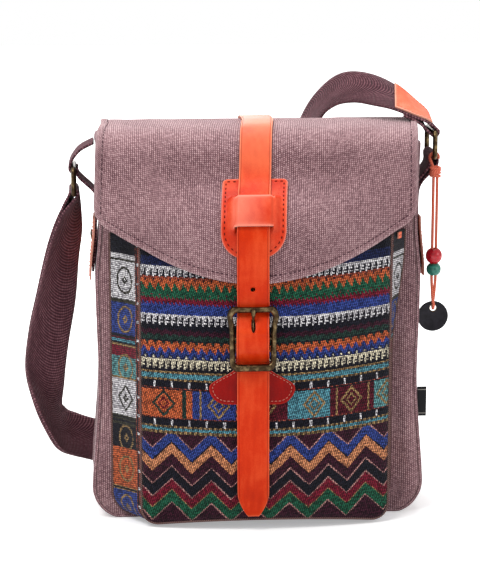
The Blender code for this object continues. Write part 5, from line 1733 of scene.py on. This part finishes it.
def make_tabs():
    """Webbing tabs that hold the rings to the sides, each with a leather patch and a rivet."""
    loop = RING_WIRE + GAP + TAB_THICKNESS / 2
    inner = GAP + TAB_THICKNESS / 2 + 0.2
    outer = inner + TAB_THICKNESS + GAP
    right = [(side_at(z) + inner, z) for z in (TAB_FOOT_Z, 220.0, 245.0, 262.0)]
    right.append((RIGHT_RING_X - loop - 0.6, RIGHT_RING_Z - 8.0))
    right += [(RIGHT_RING_X + loop * a, RIGHT_RING_Z + loop * b) for a, b in sweep(190.0, -10.0, 8)]
    right.append((RIGHT_RING_X + loop - 1.2, RIGHT_RING_Z - 8.0))
    right += [(side_at(z) + outer + extra, z)
              for z, extra in ((263.0, 1.6), (246.0, 0.0), (220.0, 0.0), (TAB_FOOT_Z, 0.0))]
    left = [(-side_at(z) - inner, z) for z in (TAB_FOOT_Z, 220.0, 245.0, 258.0)]
    left.append((LEFT_RING_X + loop + 0.9, LEFT_RING_Z - 7.0))
    left += [(LEFT_RING_X + loop * a, LEFT_RING_Z + loop * b) for a, b in sweep(-20.0, -200.0, 8)]
    left += [(LEFT_RING_X - 0.8, LEFT_RING_Z + 7.0), (-138.5, 293.0), (-side_at(298.0) - inner, 298.5)]
    across = np.linspace(-0.5, 0.5, 11)[:, None] * TAB_WIDTH * np.array((0.0, -1.0, 0.0))
    for name, line in (("right_ring_tab", right), ("left_ring_tab", left)):
        centres = Path([(x, RING_Y, z) for x, z in line], 5).dense
        tab = sheet(name + "_webbing", centres[:, None] + across, WEBBING, TAB_THICKNESS, 0)
        dress(tab, "root", "webbing", name)
    for name, sign, lift in (("right_tab_patch", 1, outer), ("left_tab_patch", -1, inner)):
        seat = lift + TAB_THICKNESS / 2 + GAP + TAB_PATCH_THICKNESS
        heights = split_run([TAB_PATCH_LOW, TAB_PATCH_LOW + 0.5, TAB_PATCH_HIGH - 0.5, TAB_PATCH_HIGH], 2.0)
        places = split_run(PATCH_EDGES, 0.05)

        def on_tab(along, height):
            return (sign * (side_at(height) + seat), RING_Y + along, height), (sign, 0.0, 0.0)

        points = np.array([[on_tab(sign * TAB_PATCH_WIDTH * share, z)[0] for share in places]
                           for z in heights])
        patch = sheet(name + "_leather", points, FITTING_LEATHER, TAB_PATCH_THICKNESS, rim=LEATHER_EDGE,
                      wear_and_highlight=rubbed_edges(TAB_PATCH_WIDTH, heights, places, 1.6), bevel=0.3)
        dress(patch, "root", "orange_leather", name)
        inset = 2.4
        middle_z = (TAB_PATCH_LOW + TAB_PATCH_HIGH) / 2
        sewn = sewn_round(name + "_stitches", TAB_PATCH_WIDTH / 2 - inset,
                          (TAB_PATCH_HIGH - TAB_PATCH_LOW) / 2 - inset, 2.0,
                          lambda a, b: on_tab(a, middle_z + b))
        dress(sewn, "root", "orange_leather")
        make_rivet(name.replace("patch", "rivet"), sign, side_at(RIVET_Z) + seat + GAP)


def make_rivet(name, sign, base):
    """A brass cap rivet: a low dome inside a rolled rim."""
    profile = [(0.02, 1.55), (1.2, 1.5), (2.2, 1.3), (2.8, 1.0), (3.05, 0.85), (3.3, 1.0), (3.65, 1.0),
               (3.95, 0.7), (4.0, 0.3), (3.9, 0.02), (0.02, 0.02)]
    ring = sweep(0.0, 360.0, 40)[:-1]
    points = np.array([[(sign * (base + height), RING_Y + sign * radius * a, RIVET_Z + radius * b)
                        for a, b in ring] for radius, height in profile])
    marks = np.zeros((len(profile), len(ring) + 1, 2))
    mesh = mesh_of(name + "_brass", points, marks, closed=(False, True))
    dress(show(name + "_brass", mend(mesh, sharp=50), BRASS), "root", "antique_brass", name)


# The strap's two edges along its lie, from the left ring, round behind the bag, to the right ring
STRAP_LIE = [
    ((LEFT_RING_X, -10.0, 258.5), (LEFT_RING_X, 26.0, 258.5)),
    ((-157.3, -12.0, 240.0), (-138.4, 22.0, 228.0)),
    ((-167.4, -6.0, 216.9), (-139.8, 24.0, 200.0)),
    ((-177.1, 6.0, 178.2), (-142.3, 28.0, 165.2)),
    ((-184.4, 14.0, 145.4), (-148.3, 30.0, 130.3)),
    ((-186.9, 20.0, 112.7), (-153.4, 36.0, 99.2)),
    ((-179.3, 22.0, 82.4), (-158.0, 52.0, 75.1)),
    ((-168.6, 32.0, 55.2), (-157.4, 62.0, 67.2)),
    ((-159.3, 46.0, 34.5), (-154.1, 68.0, 63.3)),
    ((-147.1, 60.0, 24.0), (-145.2, 72.0, 59.7)),
    ((-130.2, 69.0, 17.0), (-129.7, 73.0, 54.1)),
    ((-104.0, 74.0, 9.0), (-104.0, 82.0, 45.0)),
    ((-72.0, 74.0, 4.5), (-72.0, 100.0, 30.0)),
    ((-40.0, 70.0, 3.5), (-40.0, 106.0, 9.0)),
    ((-10.0, 68.0, 8.0), (-14.0, 104.0, 9.0)),
    ((12.0, 66.0, 30.0), (2.0, 100.0, 32.0)),
    ((25.0, 65.0, 70.0), (7.0, 95.0, 70.0)),
    ((29.0, 64.0, 120.0), (11.0, 94.0, 120.0)),
    ((33.0, 63.0, 170.0), (15.0, 93.0, 170.0)),
    ((40.0, 62.0, 220.0), (20.0, 91.0, 220.0)),
    ((46.0, 61.0, 270.0), (32.0, 93.0, 268.0)),
    ((56.0, 58.0, 306.0), (46.0, 90.0, 306.0)),
    ((67.0, 46.0, 320.0), (58.0, 78.0, 328.0)),
    ((80.0, 30.0, 325.0), (74.0, 58.0, 344.0)),
    ((94.0, 14.0, 325.0), (92.0, 40.0, 346.0)),
    ((110.0, 0.0, 322.0), (114.0, 32.0, 338.0)),
    ((130.0, -8.0, 314.0), (134.0, 28.0, 320.0)),
    ((RIGHT_RING_X, -10.0, RIGHT_RING_Z + RING_HEIGHT), (RIGHT_RING_X, 26.0, RIGHT_RING_Z + RING_HEIGHT)),
]


class Lie:
    """The strap's lie: its middle line, its width direction and its face direction."""

    def __init__(self):
        middles = [(np.array(a) + np.array(b)) / 2 for a, b in STRAP_LIE]
        widths = [unit(np.array(b) - np.array(a)) for a, b in STRAP_LIE]
        self.dense = Path([np.concatenate([m, w * WIDTH_WEIGHT]) for m, w in zip(middles, widths)], 20).dense
        self.reach = reach_of(self.dense[:, :3])
        self.length = self.reach[-1]

    def read(self, distance):
        row = read_line(distance, self.reach, self.dense)
        return row[:3], unit(row[3:])

    def near_end(self, distance):
        """0 along the strap, and 1 where it reaches the right ring."""
        return smooth(1 - (self.length - distance) / RIGHT_RING_RUN)

    def frame(self, distance):
        middle, width = self.read(distance)
        ahead = self.read(min(distance + 1.0, self.length))[0]
        behind = self.read(max(distance - 1.0, 0.0))[0]
        tangent = ahead - behind
        tangent = unit(tangent - width * (width @ tangent))
        return middle, tangent, width, np.cross(tangent, width)


def slider_place(lie):
    """Distance along the lie at which the slider sits, on the upright stretch behind the bag."""
    dense = lie.dense
    behind = (dense[:, 1] > 60.0) & (dense[:, 0] > 0.0) & (dense[:, 2] < 200.0)
    height = np.where(behind, np.abs(dense[:, 2] - SLIDER_Z), 1e9)
    return lie.reach[int(np.argmin(height))]


def hook(lie, distance, radius, start, end):
    """Turns of webbing round a bar that lies across the strap."""
    middle, tangent, width, face = lie.frame(distance)
    return [(middle + radius * (a * tangent + b * face), width) for a, b in sweep(start, end, 7)]


def strap_frames(lie):
    """The webbing's middle points and width directions up to the slider's bar, and from there on."""
    slider = slider_place(lie)
    bar = SLIDER_WIRE + GAP + WEB_THICKNESS / 2
    ring = RING_LAYER
    beneath = bar + WEB_THICKNESS + GAP
    clear = SLIDER_WIRE + GAP / 2
    near = [3.0, 8.0, SLIDER_HALF_LENGTH - clear, SLIDER_HALF_LENGTH + clear]
    plain = np.arange(5.0, lie.length - 5.0, 7.0)
    plain = [d for d in plain if abs(d - slider) > SLIDER_HALF_LENGTH + 5.0]
    frames = hook(lie, slider, bar, 130.0, -90.0)
    doubled = [d for d in plain if d < slider]
    for distance in sorted(doubled + [slider - step for step in near], reverse=True):
        middle, _, width, face = lie.frame(distance)
        away = slider - distance
        if away < SLIDER_HALF_LENGTH:
            lift = -lerp(bar, beneath, smooth((away - near[0]) / (near[2] - near[0])))
        else:
            lift = -lerp(beneath, LAYER, smooth((away - near[3]) / SLIDER_RUN))
        lift -= smooth(1 - distance / LEFT_RING_RUN) * (ring - LAYER)
        frames.append((middle + face * lift, width))
    frames += hook(lie, 0.0, ring, 270.0, 90.0)
    weave = [slider + sign * step for sign in (-1, 1) for step in near]
    split = None
    for distance in sorted(plain + weave):
        middle, _, width, face = lie.frame(distance)
        lift = LAYER + smooth(1 - distance / LEFT_RING_RUN) * (ring - LAYER)
        away = distance - slider
        if split is None and away > 0:
            split = len(frames)
        if abs(away) < SLIDER_HALF_LENGTH:
            lift = lerp(beneath + 0.1, -bar, smooth((abs(away) - near[0]) / (near[2] - near[0])))
        elif abs(away) < 45.0:
            calm = LAYER if away < 0 else 0.0
            lift = lerp(-bar, calm, smooth((abs(away) - near[3]) / SLIDER_RUN))
        elif away > 0:
            lift = lie.near_end(distance) * ring
        frames.append((middle + face * lift, width))
    frames += hook(lie, lie.length, ring, 90.0, -90.0)
    distance = lie.length - 6.0
    while distance > lie.length - PATCH_LENGTH:
        middle, _, width, face = lie.frame(distance)
        near_end = lie.near_end(distance)
        lift = near_end * ring - WEB_THICKNESS - GAP - near_end * (2 * ring - WEB_THICKNESS - GAP)
        frames.append((middle + face * lift, width))
        distance -= 6.0
    return frames, split


def make_shoulder_strap():
    """The webbing in lengths, split around its slider and beside the right ring."""
    lie = Lie()
    frames, split = strap_frames(lie)
    dense = Path([np.concatenate([middle, width * WIDTH_WEIGHT]) for middle, width in frames], 4).dense
    middles, widths = dense[:, :3], unit(dense[:, 3:])
    shares = np.linspace(-0.5, 0.5, 13)
    points = middles[:, None] + widths[:, None] * WEB_WIDTH * shares[None, :, None]
    marks = measure(points)
    cut = split * 4
    left_top = (LEFT_RING_X, RING_Y, LEFT_RING_Z - RING_HEIGHT)
    right_top = (RIGHT_RING_X, RING_Y, RIGHT_RING_Z + RING_HEIGHT)
    seat, along = lie.frame(slider_place(lie))[:2]
    still = SLIDER_HALF_LENGTH + 3.0
    clear_of_slider = np.linalg.norm(middles - seat, axis=1) > SLIDER_REACH
    rows = np.arange(len(middles))
    doubled = int(rows[clear_of_slider][0])
    below = int(rows[clear_of_slider & (rows < cut)][-1])
    above = int(rows[clear_of_slider & (rows > cut)][0])
    swung = np.subtract(RIGHT_STILL, right_top)
    follows = (points - np.array(right_top)) @ swung / (swung @ swung)
    crest = int(rows[follows.min(axis=1) >= 1.0][-1])
    low = seat - along * SLIDER_REACH
    high = seat + along * SLIDER_REACH
    lengths = (("strap_doubled_end", slice(0, doubled + 1), "slider", seat - along * still, low),
               ("strap_left_length", slice(doubled, below + 1), "left_ring", left_top, LEFT_STILL),
               ("strap_slider_lower", slice(below, cut + 1), "slider", seat - along * still, low),
               ("strap_slider_upper", slice(cut, above + 1), "slider", seat + along * still, high),
               ("strap_back_length", slice(above, crest + 1), None, None, None),
               ("strap_right_length", slice(crest, None), "right_ring", right_top, RIGHT_STILL))
    for name, part, body, near, far in lengths:
        strap = sheet(name, points[part], WEBBING, WEB_THICKNESS, 0, marks=marks[part])
        if body:
            [c * MM for c in near]
            [c * MM for c in far]
            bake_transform(strap)
        else:
            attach(strap, "root")
        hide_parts("shoulder_strap")
    make_strap_end(lie)
    make_slider(lie)


def make_strap_end(lie):
    """The leather patch over the webbing's end beside the right ring."""
    start = lie.length - PATCH_LENGTH - 8.0
    distances = start + np.array(split_run([0.0, 0.5, PATCH_LENGTH - 0.5, PATCH_LENGTH], 1.5))
    places = split_run(PATCH_EDGES, 0.05)

    def on_patch(distance, share, more=0.0):
        middle, _, width, face = lie.frame(distance)
        lift = lie.near_end(distance) * RING_LAYER
        lift += WEB_THICKNESS / 2 + GAP + PATCH_THICKNESS / 2 + 0.1 + more
        return middle + face * lift + width * PATCH_WIDTH * share, face

    points = np.array([[on_patch(distance, share)[0] for share in places] for distance in distances])
    patch = sheet("strap_end_leather", points, FITTING_LEATHER, PATCH_THICKNESS, 0, rim=LEATHER_EDGE,
                  wear_and_highlight=rubbed_edges(WEB_WIDTH, distances, places, 1.8), bevel=0.3)
    inset = 2.2
    middle = start + PATCH_LENGTH / 2
    sewn = sewn_round("strap_end_stitches", PATCH_LENGTH / 2 - inset, PATCH_WIDTH / 2 - inset, 1.5,
                      lambda a, b: on_patch(middle + a, b / PATCH_WIDTH, PATCH_THICKNESS / 2))
    for item in (patch, sewn):
        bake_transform(item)
    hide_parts("strap_end_patch")


def make_slider(lie):
    middle, tangent, width, _ = lie.frame(slider_place(lie))
    outline = closed_line(rounded_rectangle(SLIDER_HALF_LENGTH, SLIDER_HALF_WIDTH, 3.0, 6), 1.2)
    rim = tube("slider_rim", [middle + a * tangent + b * width for a, b in outline], SLIDER_WIRE, BRASS, 14,
               closed=True)
    bar = tube("slider_bar", [middle + width * SLIDER_HALF_WIDTH * s for s in np.linspace(-1, 1, 9)],
               SLIDER_WIRE * 0.98, BRASS, 14)
    dress(joined("slider_brass", [rim, bar]), "slider", "antique_brass", "strap_slider")


# Charm

def make_charm():
    x, y = CHARM_X, CHARM_Y
    spread = CORD_HALF_SPREAD
    hole_z = DISC_Z + DISC_HOLE_ABOVE
    wrap = RING_WIRE + GAP + CORD_RADIUS
    ring_y = RING_Y - RING_LENGTH / 2 + RING_CORNER
    turns = [math.radians(degrees) for degrees in (-20, 20, 55, 90, 125, 160, 200)]
    top = [(x + wrap * math.cos(angle), y + (ring_y - y) * 0.98, CHARM_TOP_Z + wrap * math.sin(angle))
           for angle in turns]
    left = [(x - spread, y + 0.9, CHARM_TOP_Z - 9.0), (x - spread, y, CHARM_TOP_Z - 20.0),
            (x - spread, y, RED_BEAD_Z), (x - spread, y, GREEN_BEAD_Z), (x - spread, y, GREEN_BEAD_Z - 9.0)]
    low = [(x - 0.7, y - 1.6, hole_z + 8.0), (x, y - 2.3, hole_z + 4.0), (x, y - 2.2, hole_z + 1.0),
           (x, y, hole_z - 0.6), (x, y + 2.2, hole_z + 1.0), (x, y + 2.3, hole_z + 4.0),
           (x + 0.7, y + 1.6, hole_z + 8.0)]
    right = [(x + spread, py, pz) for _, py, pz in reversed(left)]
    path = Path(top + left + low + right, 8)
    line = path.at(np.linspace(0.0, path.length, 300))
    cord = tube("charm_cord_strands", line, CORD_RADIUS, CORD, 10)
    dress(cord, "charm", "orange_cord", "charm_cord")

    knots = []
    for turn in range(4):
        height = CHARM_TOP_Z - 7.5 - 2.1 * turn
        ring = []
        for k in range(28):
            angle = 2 * math.pi * k / 28
            ring.append((x + (spread + 2.0) * math.cos(angle), y + 0.7 + 2.3 * math.sin(angle),
                         height + 0.5 * math.sin(angle + 1.2 * turn)))
        knots.append(tube("knot_turn", ring, CORD_RADIUS * 0.95, CORD, 10, closed=True))
    pieces = [dress(joined("charm_knot", knots), "charm", "orange_cord")]
    beads = (("charm_bead_red", RED_BEAD_Z, RED_BEAD_RADIUS, RED_BEAD_HALF, RED_GLAZE, "red_glaze"),
             ("charm_bead_green", GREEN_BEAD_Z, GREEN_BEAD_RADIUS, GREEN_BEAD_HALF, GREEN_GLAZE,
              "green_glaze"))
    for name, z, radius, half, finish, slot in beads:
        profile = [(BEAD_HOLE, -half * 0.90), (BEAD_HOLE, half * 0.90), (BEAD_HOLE + 0.5, half * 0.985)]
        profile += [(radius * a ** 0.8, half * b / math.sin(math.radians(BEAD_TURN)))
                    for a, b in sweep(BEAD_TURN, -BEAD_TURN, 24)]
        profile.append((BEAD_HOLE + 0.5, -half * 0.985))
        bead = turned_piece(name + "_glazed", profile, (x, y, z), finish)
        pieces.append(dress(bead, "charm", slot, name))

    half = DISC_THICKNESS / 2
    profile = [(0.02, -half + 0.25), (9.4, -half + 0.25), (9.8, -half), (DISC_RADIUS - 0.4, -half),
               (DISC_RADIUS, -half + 0.4), (DISC_RADIUS, half - 0.4), (DISC_RADIUS - 0.4, half), (9.8, half),
               (9.4, half - 0.25), (0.02, half - 0.25)]
    disc = turned_piece("charm_disc_lacquer", profile, (x, y, DISC_Z), BLACK_DISC, axis="Y")
    bore(disc, DISC_HOLE, DISC_HOLE, 10.0, (x, y, hole_z))
    disc.data.shade_smooth()
    disc.data.set_sharp_from_angle(angle=math.radians(35))
    pieces.append(dress(disc, "charm", "black_disc", "charm_disc"))
    rim = DISC_HOLE + 0.25
    eyelet = [(x + rim * a, y - half, hole_z + rim * b) for a, b in sweep(0.0, 360.0, 36)[:-1]]
    pieces.append(dress(tube("disc_eyelet", eyelet, 0.3, BRASS, 8, closed=True), "charm", "antique_brass"))


def turned_piece(name, profile, centre, finish, axis="Z"):
    """A solid turned from (radius, height) pairs about an upright axis, or about Y."""
    ring = sweep(0.0, 360.0, 56)[:-1]
    order = [0, 1, 2] if axis == "Z" else [0, 2, 1]
    points = np.array([[(radius * a, radius * b, height) for a, b in ring] for radius, height in profile])
    marks = np.zeros((len(profile) + 1, len(ring) + 1, 2))
    mesh = mesh_of(name, points[:, :, order] + np.array(centre), marks, closed=(True, True))
    return show(name, mend(mesh, sharp=50), finish)


def make_label():
    """A folded ribbon label that stands out of the right seam."""
    seat = float(side_x(BODY_FRONT + LABEL_THICKNESS, LABEL_Z - LABEL_LENGTH / 2))
    half = LABEL_THICKNESS / 2 - 0.12
    middle = BODY_FRONT + 0.5
    out = np.linspace(seat + GAP, seat + GAP + LABEL_WIDTH - half - 0.3, 9)
    line = [(x, middle - half) for x in out]
    line += [(out[-1] + half * b, middle - half * a) for a, b in sweep(0.0, 180.0, 8)[1:-1]]
    line += [(x, middle + half) for x in reversed(out)]
    rows = 24
    points = np.zeros((rows + 1, len(line), 3))
    marks = np.zeros((rows + 1, len(line), 2))
    for j in range(rows + 1):
        z = LABEL_Z - LABEL_LENGTH / 2 + LABEL_LENGTH * j / rows
        for i, (x, y) in enumerate(line):
            bow = 0.25 * math.sin(math.pi * j / rows) * (x - seat) / LABEL_WIDTH
            points[j, i] = (x, y - bow, z)
            marks[j, i] = (x - seat, z - LABEL_Z + LABEL_LENGTH / 2)
    label = sheet("side_label_ribbon", points, LABEL_CLOTH, 0.22, 0, marks=marks)
    dress(label, "root", "label_cloth", "side_label")


# Stage

def make_stage():
    camera = bpy.data.cameras.new("camera")
    camera.lens = LENS
    camera.sensor_width = SENSOR
    azimuth = math.radians(CAMERA_AZIMUTH)
    elevation = math.radians(CAMERA_ELEVATION)
    target = Vector(CAMERA_TARGET) * MM
    back = Vector((math.sin(azimuth) * math.cos(elevation), -math.cos(azimuth) * math.cos(elevation),
                   math.sin(elevation)))
    item = bpy.data.objects.new("camera", camera)
    item.location = target + back * CAMERA_DISTANCE * MM
    item.rotation_euler = (-back).to_track_quat("-Z", "Y").to_euler()
    bpy.context.scene.collection.objects.link(item)
    bpy.context.scene.camera = item
    bpy.context.scene.view_settings.view_transform = "Standard"

    world = bpy.data.worlds.new("studio")
    bpy.context.scene.world = world
    world.use_nodes = True
    tree = world.node_tree
    background = tree.nodes["Background"]
    background.inputs["Color"].default_value = (1.0, 1.0, 1.0, 1.0)
    strength = seen_ray(tree) * (WHITE_BACKGROUND - AMBIENT) + AMBIENT
    tree.links.new(strength.socket, background.inputs["Strength"])

    floor = bpy.data.meshes.new("floor")
    half = FLOOR_HALF * MM
    corners = [(-half, -half, 0), (half, -half, 0), (half, half, 0), (-half, half, 0)]
    floor.from_pydata(corners, [], [(0, 1, 2, 3)])
    white = bpy.data.materials.new("floor")
    white.use_nodes = True
    tree = white.node_tree
    shader = tree.nodes["Principled BSDF"]
    shader.inputs["Base Color"].default_value = (0.9, 0.9, 0.9, 1.0)
    shader.inputs["Roughness"].default_value = 0.7
    shader.inputs["Specular IOR Level"].default_value = 0.1
    shader.inputs["Emission Color"].default_value = (1.0, 1.0, 1.0, 1.0)
    place = tree.nodes.new("ShaderNodeNewGeometry")
    length = tree.nodes.new("ShaderNodeVectorMath")
    length.operation = "LENGTH"
    tree.links.new(place.outputs["Position"], length.inputs[0])
    away = (Signal(tree, length.outputs["Value"]) / (FLOOR_FAR * MM) - 0.35).clamped()
    glow = seen_ray(tree) * (away * FLOOR_FAR_GLOW + FLOOR_GLOW)
    tree.links.new(glow.socket, shader.inputs["Emission Strength"])
    show("floor", floor, white)

    for name, place, size, power in LAMPS:
        lamp = bpy.data.lights.new(name, "AREA")
        lamp.size = size * MM
        lamp.energy = power
        item = bpy.data.objects.new(name, lamp)
        item.location = Vector(place) * MM
        aim = Vector(LAMP_TARGET) * MM - item.location
        item.rotation_euler = aim.to_track_quat("-Z", "Y").to_euler()
        bpy.context.scene.collection.objects.link(item)


def seen_ray(tree):
    """1 for rays from the camera and those that reflections and clear things send on, 0 for the rest."""
    path = tree.nodes.new("ShaderNodeLightPath")
    seen = Signal(tree, path.outputs["Is Camera Ray"])
    seen = seen.most(Signal(tree, path.outputs["Is Glossy Ray"]))
    return seen.most(Signal(tree, path.outputs["Is Transmission Ray"]))


make_stage()
make_charm()
make_side_gusset()
make_body_panels()
make_body_seams()
make_pocket()
make_corner_tab()
make_flap()
make_closure_strap()
make_keeper()
make_buckle()
make_anchor()
make_rings()
make_tabs()
make_shoulder_strap()
make_label()
